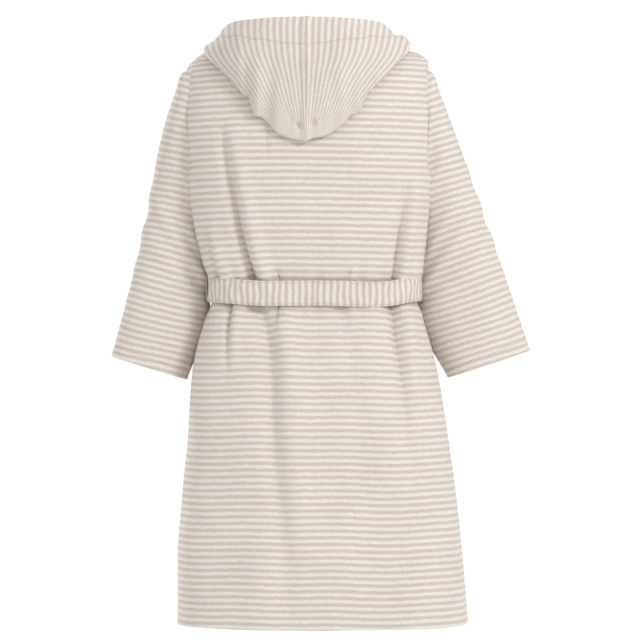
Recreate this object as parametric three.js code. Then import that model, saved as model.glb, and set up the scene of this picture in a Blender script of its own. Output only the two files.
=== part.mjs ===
// Hooded terry bathrobe, worn shape, with its belt tied and its hood lying on the back.
// Millimetres, +Z up. The wearer faces -Y, so the back panel and the hood are on the +Y side
// and the wearer's left is +X. The origin is under the hanging loop at the nape, where a hook bears.
// Every piece of cloth is a closed shell: its outer face follows a formula and its inner face
// lies one cloth thickness behind it.
import * as THREE from 'three';

// ---------------------------------------------------------------- driving dimensions
const CLOTH = 4; // terry cloth, pile included
const TAPE = 1.5; // woven tape and labels
const SEAM_GAP = 1; // half the gap between two panels that are sewn edge to edge

const RIDGE_Y = -55; // the shoulder seams lie this far in front of the hanging loop
const NECK_HALF_WIDTH = 85;
const NECK_RISE = 17; // height of the shoulder seam beside the neck
const SHOULDER_SLOPE = 0.21;
const SHOULDER_TIP = 204; // from here out the shoulder seam rounds down into the sleeve
const TIP_ROUNDING = 0.0088;
const SHOULDER_DROP = 110; // height over which a shoulder rounds down to the chest
const NAPE_DROP = 0.42; // how far round the shoulder curve the back neckline dips
const LEVEL_FROM = 0.3; // share of the way from the chest to the hem at which the rows are level
const HEM_Z = -1144;
const SQUARENESS = 2.6; // power of the body's horizontal sections, 2 would be an ellipse

// Body sections from the shoulders down: height, centre, half width, depth behind, depth in front.
// The skirt leans a little to the wearer's right, as it hangs.
const SECTIONS = [
  [-80, 7, 249, 108, 104],
  [-200, 5, 245, 124, 118],
  [-300, 3, 235, 120, 117],
  [-400, -2, 221, 112, 112],
  [-488, -7, 212, 106, 108],
  [-600, -7, 232, 122, 120],
  [-800, -15, 259, 145, 138],
  [-1000, -19, 279, 160, 150],
  [HEM_Z, -24, 286, 165, 155],
];

const ARMHOLE_EDGE = 0.955; // share of the half width at which the armhole seam lies
const ARMPIT_Z = -250;

const FRONT_LAP = 60; // each front runs this far past the centre
const LAP_GAP = 12; // the outer front lies this far outside the inner one
const BELT_Z = -489;
const BELT_WIDTH = 50;
const BELT_RISE = 13; // the belt sits this much higher at the sides than at the back
const BELT_THICK = 5;
const BELT_EASE = 13; // room between the belt and the cloth it gathers
const FACING_WIDTH = 40;

// ---------------------------------------------------------------- materials
const striped = { color: 0xe4dbd4, roughness: 0.95, metalness: 0 };
const ivory = { color: 0xf0ebe4, roughness: 0.9, metalness: 0 };
const white = { color: 0xf8f6f2, roughness: 0.7, metalness: 0 };

const robe = new THREE.Group();

function addPiece(name, geometry, look) {
  const mesh = new THREE.Mesh(geometry, new THREE.MeshStandardMaterial(look));
  mesh.name = name;
  robe.add(mesh);
  return mesh;
}

// ---------------------------------------------------------------- small maths
const lerp = THREE.MathUtils.lerp;
const clamp = THREE.MathUtils.clamp;
const smoothstep = THREE.MathUtils.smoothstep;

function pathPoint(points, t) {
  const curve = new THREE.CatmullRomCurve3(points.map((p) => new THREE.Vector3(...p)));
  return curve.getPoint(clamp(t, 0, 1));
}

function sectionAt(z) {
  const last = SECTIONS.length - 1;
  let k = 0;
  while (k < last - 1 && z < SECTIONS[k + 1][0]) k += 1;
  const above = SECTIONS[k];
  const below = SECTIONS[k + 1];
  const t = clamp((z - above[0]) / (below[0] - above[0]), 0, 1);
  const before = SECTIONS[Math.max(k - 1, 0)];
  const after = SECTIONS[Math.min(k + 2, last)];
  const [centre, half, back, front] = [1, 2, 3, 4].map((c) => {
    const step = below[0] - above[0];
    const slopeIn = ((below[c] - before[c]) / (below[0] - before[0])) * step;
    const slopeOut = ((after[c] - above[c]) / (after[0] - above[0])) * step;
    const t2 = t * t;
    const t3 = t2 * t;
    return (
      (2 * t3 - 3 * t2 + 1) * above[c] +
      (t3 - 2 * t2 + t) * slopeIn +
      (3 * t2 - 2 * t3) * below[c] +
      (t3 - t2) * slopeOut
    );
  });
  return { centre, half, back, front };
}

// ---------------------------------------------------------------- shells
// point(u, v) gives the outer face for u and v from 0 to 1. The inner face lies thick behind it,
// on the side that inward points to. A wrapped shell closes on itself in u, like a tube.
function shell(point, uSteps, vSteps, thick, inward = 1, wrapped = false) {
  const EPS = 0.003;
  const columns = wrapped ? uSteps : uSteps + 1;
  const rows = vSteps + 1;
  const outer = [];
  const inner = [];
  for (let j = 0; j < rows; j += 1) {
    for (let i = 0; i < columns; i += 1) {
      const u = i / uSteps;
      const v = j / vSteps;
      const at = point(u, v);
      const u0 = wrapped ? u - EPS : Math.max(u - EPS, 0);
      const u1 = wrapped ? u + EPS : Math.min(u + EPS, 1);
      const du = point(u1, v).sub(point(u0, v));
      const dv = point(u, Math.min(v + EPS, 1)).sub(point(u, Math.max(v - EPS, 0)));
      const normal = du.cross(dv).normalize();
      outer.push(at);
      inner.push(at.clone().addScaledVector(normal, inward * thick));
    }
  }
  const corners = [...outer, ...inner];
  const faces = [];
  const quad = (a, b, c, d) => faces.push(a, b, c, a, c, d);
  const id = (i, j) => j * columns + (i % columns);
  const base = outer.length;
  for (let j = 0; j < vSteps; j += 1) {
    for (let i = 0; i < uSteps; i += 1) {
      quad(id(i, j), id(i, j + 1), id(i + 1, j + 1), id(i + 1, j));
      quad(base + id(i, j), base + id(i + 1, j), base + id(i + 1, j + 1), base + id(i, j + 1));
    }
  }
  for (let i = 0; i < uSteps; i += 1) {
    quad(id(i, 0), id(i + 1, 0), base + id(i + 1, 0), base + id(i, 0));
    quad(id(i + 1, vSteps), id(i, vSteps), base + id(i, vSteps), base + id(i + 1, vSteps));
  }
  if (!wrapped) {
    for (let j = 0; j < vSteps; j += 1) {
      quad(id(0, j + 1), id(0, j), base + id(0, j), base + id(0, j + 1));
      quad(
        id(uSteps, j),
        id(uSteps, j + 1),
        base + id(uSteps, j + 1),
        base + id(uSteps, j),
      );
    }
  }
  return facingOut(corners, faces);
}

function facingOut(corners, faces) {
  let volume = 0;
  for (let k = 0; k < faces.length; k += 3) {
    const [a, b, c] = [corners[faces[k]], corners[faces[k + 1]], corners[faces[k + 2]]];
    volume += a.dot(b.clone().cross(c));
  }
  if (volume < 0) faces.reverse();
  const geometry = new THREE.BufferGeometry().setFromPoints(corners);
  geometry.setIndex(faces);
  geometry.computeVertexNormals();
  return geometry;
}

// ---------------------------------------------------------------- body of the robe
function ridgeZ(x) {
  const out = Math.abs(x);
  const past = Math.max(out - SHOULDER_TIP, 0);
  return NECK_RISE - (out - NECK_HALF_WIDTH) * SHOULDER_SLOPE - TIP_ROUNDING * past * past;
}

// A point of the body's surface. column runs from -1 at the wearer's right side seam to 1 at the
// left one. drop is 0 on the shoulder seam, 1 where the shoulder has rounded down, and 2 at the
// hem: positive down the back, negative down the front.
function bodyPoint(column, drop, lift = 0) {
  const round = Math.min(Math.abs(drop), 1) * (Math.PI / 2);
  const angle = column * (Math.PI / 2);
  const top = sectionAt(SECTIONS[0][0]);
  const power = 2 / SQUARENESS;
  const across = Math.sign(angle) * Math.abs(Math.sin(angle)) ** power;
  const topZ = ridgeZ(top.centre + top.half * across * ARMHOLE_EDGE);
  // Below the shoulder's curve the rows even out, and from the waist down each is level.
  const chestZ = NECK_RISE - SHOULDER_DROP;
  const fall = Math.max(Math.abs(drop) - 1, 0);
  const uneven = (topZ - NECK_RISE) * (1 - smoothstep(fall, 0, LEVEL_FROM));
  const z = lerp(chestZ, HEM_Z, fall) + uneven + SHOULDER_DROP * Math.cos(round);
  const { centre, half, back, front } = sectionAt(z);
  const reach = lerp(1, ARMHOLE_EDGE, smoothstep(z, ARMPIT_Z - 12, ARMPIT_Z + 20));
  const u = across * reach;
  const depth = (1 - Math.min(Math.abs(u), 1) ** SQUARENESS) ** (1 / SQUARENESS);
  const side = drop >= 0 ? 1 : -1;
  const y = side * ((side > 0 ? back : front) * depth * Math.sin(round) + SEAM_GAP);
  const point = new THREE.Vector3(centre + half * u, RIDGE_Y + y, z);
  if (lift === 0) return point;
  const EPS = 0.004;
  const du = bodyPoint(Math.min(column + EPS, 1), drop).sub(bodyPoint(Math.max(column - EPS, -1), drop));
  const dv = bodyPoint(column, drop + EPS).sub(bodyPoint(column, drop - EPS));
  return point.addScaledVector(du.cross(dv).normalize(), lift);
}

// The column that holds a given x at a given drop.
function columnAt(x, drop) {
  let low = -1;
  let high = 1;
  for (let k = 0; k < 24; k += 1) {
    const middle = (low + high) / 2;
    if (bodyPoint(middle, drop).x < x) low = middle;
    else high = middle;
  }
  return (low + high) / 2;
}

// The drop that reaches a given height on the back or the front at one column.
function dropAt(z, column, side) {
  let low = 0;
  let high = 2;
  for (let k = 0; k < 24; k += 1) {
    const middle = (low + high) / 2;
    if (bodyPoint(column, side * middle).z > z) low = middle;
    else high = middle;
  }
  return (side * (low + high)) / 2;
}

function neckDrop(x) {
  const share = clamp(Math.abs(x) / NECK_HALF_WIDTH, 0, 1);
  return NAPE_DROP * Math.sqrt(1 - share * share);
}

function backPanel() {
  const top = sectionAt(SECTIONS[0][0]);
  const point = (u, v) => {
    const column = lerp(-1, 1, u);
    const across = Math.sign(column) * Math.abs(Math.sin((column * Math.PI) / 2)) ** (2 / SQUARENESS);
    const start = neckDrop(top.half * across);
    return bodyPoint(column, lerp(start, 2, v ** 1.35));
  };
  return shell(point, 26, 20, CLOTH, -1);
}

// Centre edge of a front: from beside the neck it runs across the chest to past the centre at the
// belt, then straight down. side is 1 for the wearer's left front, which lies outside.
function frontEdgeX(z, side) {
  const t = clamp((NECK_RISE - z) / (NECK_RISE - BELT_Z), 0, 1);
  return side * lerp(NECK_HALF_WIDTH, -FRONT_LAP, t);
}

function frontEdgeColumn(drop, side) {
  let column = side * 0.3;
  for (let k = 0; k < 8; k += 1) column = columnAt(frontEdgeX(bodyPoint(column, drop).z, side), drop);
  return column;
}

// Only the outer front stands off the body's surface, where it lies over the inner one.
function lapOver(side, point, drop) {
  if (side > 0) point.y -= LAP_GAP * smoothstep(175 - point.x, 0, 90) * smoothstep(-drop, 0.2, 1);
  return point;
}

function frontPoint(side, edgeShare, drop) {
  const column = lerp(frontEdgeColumn(drop, side), side, edgeShare);
  return lapOver(side, bodyPoint(column, drop), drop);
}

function frontPanel(side, topZ, bottomZ, rows) {
  const startDrop = topZ === null ? 0.004 : -dropAt(topZ, side * 0.5, -1);
  const endDrop = -dropAt(bottomZ, side * 0.5, -1);
  const point = (u, v) => frontPoint(side, u, -lerp(startDrop, endDrop, v));
  return shell(point, 13, rows, CLOTH, side > 0 ? 1 : -1);
}

// ---------------------------------------------------------------- facings inside the front edges
function frontFacing(side, topZ, bottomZ, rows) {
  const startDrop = -dropAt(topZ, side * 0.5, -1);
  const endDrop = -dropAt(bottomZ, side * 0.5, -1);
  const inset = 3;
  const point = (u, v) => {
    const drop = -lerp(startDrop, endDrop, v);
    const edge = frontEdgeColumn(drop, side);
    const edgeX = bodyPoint(edge, drop).x;
    const x = edgeX + side * (inset + u * FACING_WIDTH);
    return lapOver(side, bodyPoint(columnAt(x, drop), drop, -(CLOTH + 3.4)), drop);
  };
  return shell(point, 2, rows, 1.6, side > 0 ? 1 : -1);
}

// ---------------------------------------------------------------- sleeves
// A sleeve is a tube lofted between its outer fold and its underarm fold. Its first ring stands
// beside the armhole, and it hangs against the body's side, a little towards the front.
const SLEEVES = {
  left: { side: 1, cuffOuter: [401, -612], cuffInner: [248, -660] },
  right: { side: -1, cuffOuter: [-441, -600], cuffInner: [-273, -656] },
};
const SLEEVE_GAP = 29; // clears the belt too

function sleevePoint({ side, cuffOuter, cuffInner }, around, along) {
  const armX = (z) => {
    const { centre, half } = sectionAt(z);
    return centre + side * (half * ARMHOLE_EDGE + 3);
  };
  const outerFold = pathPoint(
    [
      [armX(-40), 0, -36],
      [armX(-40) + side * 22, 0, -54],
      [armX(-40) + side * 31, -2, -88],
      [lerp(armX(-40) + side * 31, cuffOuter[0], 0.5), -8, lerp(-88, cuffOuter[1], 0.5)],
      [cuffOuter[0], -12, cuffOuter[1]],
    ],
    along,
  );
  const bodySide = (z, y) => {
    const { centre, half, front } = sectionAt(z);
    const u = (1 - Math.min(Math.abs(y) / front, 1) ** SQUARENESS) ** (1 / SQUARENESS);
    return centre + side * (half * u + SLEEVE_GAP);
  };
  const innerFold = pathPoint(
    [
      [bodySide(-246, 0) + side * 2, 0, -246],
      [bodySide(-330, 40) + side * 2, -40, -330],
      [bodySide(-430, 56), -56, -430],
      [bodySide(-540, 56), -56, -540],
      [cuffInner[0], -34, cuffInner[1]],
    ],
    along,
  );
  const middle = outerFold.clone().add(innerFold).multiplyScalar(0.5);
  const major = outerFold.clone().sub(innerFold).multiplyScalar(0.5);
  const minor = new THREE.Vector3(0, 1, 0).addScaledVector(major, -major.y / major.lengthSq()).normalize();
  const depth = lerp(50, 56, smoothstep(along, 0, 0.4));
  const turn = around * 2 * Math.PI;
  return middle
    .addScaledVector(major, Math.cos(turn))
    .addScaledVector(minor, depth * Math.sin(turn))
    .add(new THREE.Vector3(0, RIDGE_Y, 0));
}

function sleeve(shape) {
  return shell((u, v) => sleevePoint(shape, u, v), 16, 12, CLOTH, shape.side > 0 ? 1 : -1, true);
}

// ---------------------------------------------------------------- hood, lying on the back
// The hood is a bag sewn round the neckline. Its inner layer lies on the back and shoulders from
// the neck seam to a fold, and its outer layer comes back up from the fold to the face hem.
// share runs from 0 at the centre seam to 1 at the hood's front end beside the neck.
const HOOD_LEAN = 9; // the hood hangs a little to the wearer's left
const HOOD_OFF_BODY = 8;
const HOOD_FOLD = 16; // thickness of the bag at its fold

// Fold line: share, x, drop round the body. Hem line: share, x, y from the shoulder seam, z.
const FOLD_LINE = [
  [0, 2.5, 1.098],
  [0.2, 84, 1.05],
  [0.4, 150, 0.76],
  [0.55, 198, 0.16],
  [0.75, 160, -0.42],
  [1, 92, -0.78],
];
const HEM_LINE = [
  [0, 2, 146, 66],
  [0.25, 92, 136, 64],
  [0.42, 150, 98, 56],
  [0.55, 168, 40, 42],
  [0.75, 142, -46, 14],
  [1, 80, -116, -48],
];

function alongLine(line, share) {
  let k = 0;
  while (k < line.length - 2 && share > line[k + 1][0]) k += 1;
  const t = (share - line[k][0]) / (line[k + 1][0] - line[k][0]);
  const before = line[Math.max(k - 1, 0)];
  const after = line[Math.min(k + 2, line.length - 1)];
  return line[k].slice(1).map((value, n) => {
    const c = n + 1;
    const next = line[k + 1][c];
    const step = line[k + 1][0] - line[k][0];
    const slopeIn = ((next - before[c]) / (line[k + 1][0] - before[0])) * step;
    const slopeOut = ((after[c] - value) / (after[0] - line[k][0])) * step;
    const t2 = t * t;
    const t3 = t2 * t;
    return (
      (2 * t3 - 3 * t2 + 1) * value +
      (t3 - 2 * t2 + t) * slopeIn +
      (3 * t2 - 2 * t3) * next +
      (t3 - t2) * slopeOut
    );
  });
}

function neckSeam(share) {
  if (share <= 0.5) {
    const turn = share * Math.PI;
    return [Math.max(NECK_HALF_WIDTH * Math.sin(turn), 1.5), NAPE_DROP * Math.cos(turn) + 0.03];
  }
  const t = (share - 0.5) * 2;
  return [lerp(NECK_HALF_WIDTH + 3, 74, t), lerp(0.03, -0.66, t)];
}

function hoodPoint(side, share, along) {
  const [foldX, foldDrop] = alongLine(FOLD_LINE, share);
  const lean = HOOD_LEAN * (1 - smoothstep(share, 0.5, 0.9));
  const [neckX, neckD] = neckSeam(share);
  const onBody = (x, drop, lift) => lapOver(side, bodyPoint(columnAt(x, drop), drop, lift), drop);
  const foldAt = foldX * side + lean;
  if (along <= 0.5) {
    const t = along * 2;
    const x = lerp(neckX * side, foldAt, t);
    return onBody(x, lerp(neckD, foldDrop, t), HOOD_OFF_BODY);
  }
  const t = (along - 0.5) * 2;
  const fold = onBody(foldAt, foldDrop, HOOD_OFF_BODY + HOOD_FOLD);
  const [hemX, hemY, hemZ] = alongLine(HEM_LINE, share);
  const hem = new THREE.Vector3(hemX * side + lean, RIDGE_Y + hemY, hemZ);
  if (side > 0) hem.y -= LAP_GAP * smoothstep(share, 0.6, 1);
  const out = onBody(foldAt, foldDrop, HOOD_OFF_BODY + HOOD_FOLD + 40).sub(fold).normalize();
  const bulge = fold.clone().lerp(hem, 0.45).addScaledVector(out, lerp(44, 8, smoothstep(share, 0.3, 1)));
  const a = fold.clone().lerp(bulge, t);
  const b = bulge.clone().lerp(hem, t);
  return a.lerp(b, t);
}

function hoodHalf(side) {
  return shell((u, v) => hoodPoint(side, u, v), 14, 12, CLOTH, side > 0 ? 1 : -1);
}

// A tape sewn inside the bag along the centre seam, from the tip up to the face hem.
function hoodSeamTape() {
  const halfWidth = 6;
  const point = (u, v) => {
    const along = lerp(0.6, 0.99, v);
    const left = hoodPoint(1, 0.02, along);
    const right = hoodPoint(-1, 0.02, along);
    const across = new THREE.Vector3(1, 0, 0);
    const up = hoodPoint(1, 0.02, along + 0.01).sub(left);
    const inward = up.cross(across).normalize();
    if (inward.y > 0) inward.negate();
    return left
      .add(right)
      .multiplyScalar(0.5)
      .addScaledVector(inward, CLOTH + 1.5)
      .addScaledVector(across, lerp(-halfWidth, halfWidth, u));
  };
  return shell(point, 1, 8, TAPE, 1);
}

// ---------------------------------------------------------------- neck tape, loop and labels
function neckTape() {
  const halfWidth = 62;
  const depth = 0.12;
  const point = (u, v) => {
    const x = lerp(-halfWidth, halfWidth, u);
    const drop = neckDrop(x) + 0.02 + depth * v;
    return bodyPoint(columnAt(x, drop), drop, -(CLOTH + 3));
  };
  return shell(point, 8, 2, TAPE, -1);
}

// The loop is one flat tape bent square: a bearing bar on two legs that are sewn to the neck tape.
function hangingLoop() {
  const width = 64;
  const tape = 8;
  const thick = 2;
  const leg = 18;
  const outline = new THREE.Shape();
  outline.moveTo(-width / 2, thick);
  outline.lineTo(-width / 2, -leg);
  outline.lineTo(-width / 2 + thick, -leg);
  outline.lineTo(-width / 2 + thick, 0);
  outline.lineTo(width / 2 - thick, 0);
  outline.lineTo(width / 2 - thick, -leg);
  outline.lineTo(width / 2, -leg);
  outline.lineTo(width / 2, thick);
  outline.closePath();
  const geometry = new THREE.ExtrudeGeometry(outline, { depth: tape, bevelEnabled: false });
  geometry.rotateX(Math.PI / 2);
  geometry.translate(0, tape / 2, 0);
  return geometry;
}

// A blank woven label that hangs inside the back, sewn along its top edge.
function innerLabel(x, z, width, height) {
  const column = columnAt(x, dropAt(z, 0, 1));
  const point = (u, v) => {
    const drop = dropAt(z - height * v, column, 1);
    const at = bodyPoint(columnAt(x + width * (u - 0.5), drop), drop, -(CLOTH + 3.2));
    return at;
  };
  return shell(point, 2, 2, TAPE, 1);
}

// ---------------------------------------------------------------- belt
// A point of the belt's outer face: turn goes once round the waist, up runs from -0.5 to 0.5.
function beltPoint(turn, up, lift) {
  const angle = turn * 2 * Math.PI;
  const power = 2 / SQUARENESS;
  const z = BELT_Z + BELT_RISE * Math.abs(Math.sin(angle)) ** 3 + BELT_WIDTH * up;
  const { centre, half, back, front } = sectionAt(BELT_Z);
  const behind = Math.cos(angle) > 0;
  const lap = behind ? 0 : LAP_GAP * smoothstep(-Math.cos(angle), 0, 0.35);
  const across = (half + BELT_EASE + lift) * Math.sign(Math.sin(angle)) * Math.abs(Math.sin(angle)) ** power;
  const depth = (behind ? back : front) + BELT_EASE + lap + lift;
  const y = depth * Math.sign(Math.cos(angle)) * Math.abs(Math.cos(angle)) ** power;
  return new THREE.Vector3(centre + across, RIDGE_Y + y, z);
}

function beltBand() {
  return shell((u, v) => beltPoint(u, 0.5 - v, BELT_THICK), 56, 1, BELT_THICK, -1, true);
}

const KNOT_X = -106; // beside the outer front's free edge
const KNOT = { width: 58, depth: 26, height: 56 };
const KNOT_OFF_BELT = 9;
const TAIL = { width: 42, topWidth: 26, spread: 15, drift: 8, gap: 7, forward: 22 };

function knotPlace() {
  const { centre, half, front } = sectionAt(BELT_Z);
  const u = (KNOT_X - centre) / (half + BELT_EASE);
  const y = -(front + LAP_GAP + BELT_EASE + BELT_THICK) * (1 - Math.abs(u) ** SQUARENESS) ** (1 / SQUARENESS);
  return new THREE.Vector3(KNOT_X, RIDGE_Y + y - KNOT.depth / 2 - KNOT_OFF_BELT, BELT_Z + 6);
}

function beltKnot() {
  const geometry = new THREE.SphereGeometry(1, 14, 10);
  const at = geometry.attributes.position;
  const boxy = (value) => Math.sign(value) * Math.abs(value) ** 0.7;
  for (let k = 0; k < at.count; k += 1) {
    at.setXYZ(
      k,
      (boxy(at.getX(k)) * KNOT.width) / 2,
      (boxy(at.getY(k)) * KNOT.depth) / 2,
      (boxy(at.getZ(k)) * KNOT.height) / 2,
    );
  }
  const place = knotPlace();
  geometry.translate(place.x, place.y, place.z);
  return geometry;
}

// A flat end of the belt that hangs from the knot beside the other one: it is gathered where it
// leaves the knot, and stands a little forward over the skirt below.
function beltTail(side, length) {
  const place = knotPlace();
  const top = place.z - KNOT.height / 2 - TAIL.gap;
  const point = (u, v) => {
    const free = smoothstep(v, 0, 0.25);
    const width = lerp(TAIL.topWidth, TAIL.width, free);
    const x = place.x + side * (TAIL.spread + TAIL.drift * free) + (u - 0.5) * width;
    const y = place.y - BELT_THICK / 2 - TAIL.forward * Math.sin((v * Math.PI) / 2);
    return new THREE.Vector3(x, y, top - length * v);
  };
  return shell(point, 2, 8, BELT_THICK, 1);
}

// A narrow loop at the side seam that the belt passes through.
function beltLoop(side) {
  const angle = (side * Math.PI) / 2;
  const at = beltPoint(angle / (2 * Math.PI), 0, BELT_THICK);
  const halfWidth = 5;
  const thick = 1.5;
  const reach = BELT_THICK + 3.2;
  const tall = BELT_WIDTH / 2 + 3;
  const outline = new THREE.Shape();
  outline.moveTo(1, tall + thick);
  outline.lineTo(-reach + 1, tall + thick);
  outline.lineTo(-reach + 1, tall);
  outline.lineTo(1 - thick + 1, tall);
  outline.lineTo(1 - thick + 1, -tall);
  outline.lineTo(-reach + 1, -tall);
  outline.lineTo(-reach + 1, -tall - thick);
  outline.lineTo(2, -tall - thick);
  outline.lineTo(2, tall + thick);
  outline.closePath();
  const geometry = new THREE.ExtrudeGeometry(outline, { depth: halfWidth * 2, bevelEnabled: false });
  geometry.rotateX(Math.PI / 2);
  if (side < 0) geometry.rotateZ(Math.PI);
  geometry.translate(at.x, at.y + side * halfWidth, at.z);
  return geometry;
}

// ---------------------------------------------------------------- patch pockets
const POCKET = { nearX: 68, farX: 205, topZ: -570, bottomZ: -750, gape: 16 };

// A pocket bulges off the front between three sewn edges and stands open along its top.
function pocket(side) {
  const point = (u, v) => {
    const z = lerp(POCKET.topZ, POCKET.bottomZ, v);
    const x = side * lerp(POCKET.nearX, POCKET.farX, u);
    const drop = -dropAt(z, side * 0.4, -1);
    const column = columnAt(x, -drop);
    const bulge = Math.sin(Math.PI * u) ** 0.5 * Math.cos((Math.PI / 2) * v ** 2) ** 0.5;
    return lapOver(side, bodyPoint(column, -drop, CLOTH + 1.5 + POCKET.gape * bulge), -drop);
  };
  return shell(point, 10, 8, CLOTH, side > 0 ? 1 : -1);
}

// ---------------------------------------------------------------- build
addPiece('back_panel', backPanel(), striped);
addPiece('right_front_panel', frontPanel(-1, null, HEM_Z, 20), striped);
addPiece('left_front_upper', frontPanel(1, null, -516, 12), striped);
addPiece('left_front_skirt', frontPanel(1, -521, HEM_Z, 10), striped);
addPiece('right_front_facing', frontFacing(-1, -110, HEM_Z + 4, 14), striped);
addPiece('left_front_facing', frontFacing(1, -110, -510, 8), striped);
addPiece('left_skirt_facing', frontFacing(1, -523, HEM_Z + 4, 8), striped);
addPiece('left_sleeve', sleeve(SLEEVES.left), striped);
addPiece('right_sleeve', sleeve(SLEEVES.right), striped);
addPiece('hood_left_half', hoodHalf(1), striped);
addPiece('hood_right_half', hoodHalf(-1), striped);
addPiece('hood_seam_tape', hoodSeamTape(), ivory);
addPiece('neck_tape', neckTape(), ivory);
addPiece('hanging_loop', hangingLoop(), striped);
addPiece('size_label', innerLabel(0, -42, 34, 44), white);
addPiece('care_label', innerLabel(150, -620, 30, 60), white);
addPiece('belt_waist_band', beltBand(), striped);
addPiece('belt_knot', beltKnot(), striped);
addPiece('belt_tail_left', beltTail(1, 330), striped);
addPiece('belt_tail_right', beltTail(-1, 370), striped);
addPiece('left_belt_loop', beltLoop(1), striped);
addPiece('right_belt_loop', beltLoop(-1), striped);
addPiece('left_pocket', pocket(1), striped);
addPiece('right_pocket', pocket(-1), striped);

export default robe;
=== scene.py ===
import bpy
import math
import numpy as np
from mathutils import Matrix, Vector


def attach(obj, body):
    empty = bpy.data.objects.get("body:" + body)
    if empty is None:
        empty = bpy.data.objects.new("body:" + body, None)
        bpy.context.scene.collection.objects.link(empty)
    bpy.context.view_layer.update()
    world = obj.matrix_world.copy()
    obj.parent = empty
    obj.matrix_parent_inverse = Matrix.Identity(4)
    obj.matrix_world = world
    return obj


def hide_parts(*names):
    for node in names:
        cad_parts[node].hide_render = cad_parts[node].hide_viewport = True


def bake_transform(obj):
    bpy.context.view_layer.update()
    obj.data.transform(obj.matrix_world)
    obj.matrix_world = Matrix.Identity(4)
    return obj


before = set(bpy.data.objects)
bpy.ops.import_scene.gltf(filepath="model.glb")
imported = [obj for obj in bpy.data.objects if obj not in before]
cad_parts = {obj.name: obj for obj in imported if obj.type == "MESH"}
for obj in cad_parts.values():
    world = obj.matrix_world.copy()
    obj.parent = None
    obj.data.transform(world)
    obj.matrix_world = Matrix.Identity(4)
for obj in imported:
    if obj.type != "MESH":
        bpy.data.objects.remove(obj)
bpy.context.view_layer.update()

# Camera, a good six metres behind the robe and level with its waist, so that the back panel and
# the hood face it. The loop at the nape is the origin, and the wearer's left is +X.
MIDDLE = Vector((-0.019, -0.055, -0.541))
STAND_OFF = 6.0
VIEW_WIDTH = 1.282
camera = bpy.data.objects.new("camera", bpy.data.cameras.new("camera"))
camera.location = MIDDLE + Vector((0, STAND_OFF, 0))
camera.rotation_euler = (math.radians(90), 0, math.radians(180))
camera.data.sensor_width = 36
camera.data.lens = camera.data.sensor_width * STAND_OFF / VIEW_WIDTH
bpy.context.collection.objects.link(camera)
bpy.context.scene.camera = camera

# Studio light: a bright, even white room, one large soft light towards the wearer's right of the
# back, a weaker one opposite, and a pair that light the front in the same way.
scene = bpy.context.scene
scene.view_settings.view_transform = "Standard"
world = bpy.data.worlds.new("white_room")
scene.world = world
world.use_nodes = True
room = world.node_tree.nodes["Background"]
room.inputs["Color"].default_value = (1, 1, 1, 1)
# The room itself is pure white, and a little less of it reaches the cloth.
seen = world.node_tree.nodes.new("ShaderNodeLightPath").outputs["Is Camera Ray"]
strength = world.node_tree.nodes.new("ShaderNodeMapRange")
strength.inputs["To Min"].default_value = 0.72
strength.inputs["To Max"].default_value = 1.05
world.node_tree.links.new(seen, strength.inputs["Value"])
world.node_tree.links.new(strength.outputs[0], room.inputs["Strength"])


def soft_light(name, place, size, watts):
    light = bpy.data.objects.new(name, bpy.data.lights.new(name, "AREA"))
    light.data.shape = "DISK"
    light.data.size = size
    light.data.energy = watts
    light.location = MIDDLE + Vector(place)
    light.rotation_euler = (MIDDLE - light.location).to_track_quat("-Z", "Y").to_euler()
    bpy.context.collection.objects.link(light)


soft_light("key_back", (-2.4, 2.7, 1.9), 1.2, 66)
soft_light("fill_back", (2.6, 3.2, 0.6), 2.4, 16)
soft_light("key_front", (2.4, -2.7, 1.9), 1.2, 66)
soft_light("fill_front", (-2.6, -3.2, 0.6), 2.4, 16)

# Floor: a plain pale disc below the hanging robe.
FLOOR_Z = -1.45
FLOOR_RADIUS = 2.3
floor_mesh = bpy.data.meshes.new("floor")
rim = [
    (FLOOR_RADIUS * math.cos(k * math.tau / 96), FLOOR_RADIUS * math.sin(k * math.tau / 96), FLOOR_Z)
    for k in range(96)
]
floor_mesh.from_pydata(rim, [], [list(range(96))])
floor = bpy.data.objects.new("floor", floor_mesh)
bpy.context.collection.objects.link(floor)
floor_paint = bpy.data.materials.new("pale_floor")
floor_paint.use_nodes = True
floor_paint.node_tree.nodes["Principled BSDF"].inputs["Base Color"].default_value = (0.93, 0.93, 0.92, 1)
floor_paint.node_tree.nodes["Principled BSDF"].inputs["Roughness"].default_value = 0.8
floor_mesh.materials.append(floor_paint)

# Striped terry: yarn-dyed cotton terry, ivory with beige stripes 13 mm apart. The stripes are
# woven in, so they follow the cloth's own length, which each mesh carries as its "cloth" map in
# metres. The node group gives the stripe colour and the height of the loops.
PILE = 0.004  # the cloth's thickness, loops included
STRIPE_REPEAT = 0.0130


def new_group(name, inputs, outputs):
    group = bpy.data.node_groups.new(name, "ShaderNodeTree")
    for label, kind, value in inputs:
        socket = group.interface.new_socket(label, in_out="INPUT", socket_type=kind)
        if value is not None:
            socket.default_value = value
    for label, kind in outputs:
        group.interface.new_socket(label, in_out="OUTPUT", socket_type=kind)
    return group, group.nodes.new("NodeGroupInput"), group.nodes.new("NodeGroupOutput")


def math_node(nodes, links, kind, a, b=None, c=None):
    node = nodes.new("ShaderNodeMath")
    node.operation = kind
    for slot, value in enumerate((a, b, c)):
        if value is None:
            continue
        if isinstance(value, (int, float)):
            node.inputs[slot].default_value = value
        else:
            links.new(value, node.inputs[slot])
    return node.outputs[0]


def noise_node(nodes, links, vector, scale, detail=2.0, rough=0.5):
    node = nodes.new("ShaderNodeTexNoise")
    links.new(vector, node.inputs["Vector"])
    node.inputs["Scale"].default_value = scale
    node.inputs["Detail"].default_value = detail
    node.inputs["Roughness"].default_value = rough
    return node.outputs["Fac"]


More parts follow.
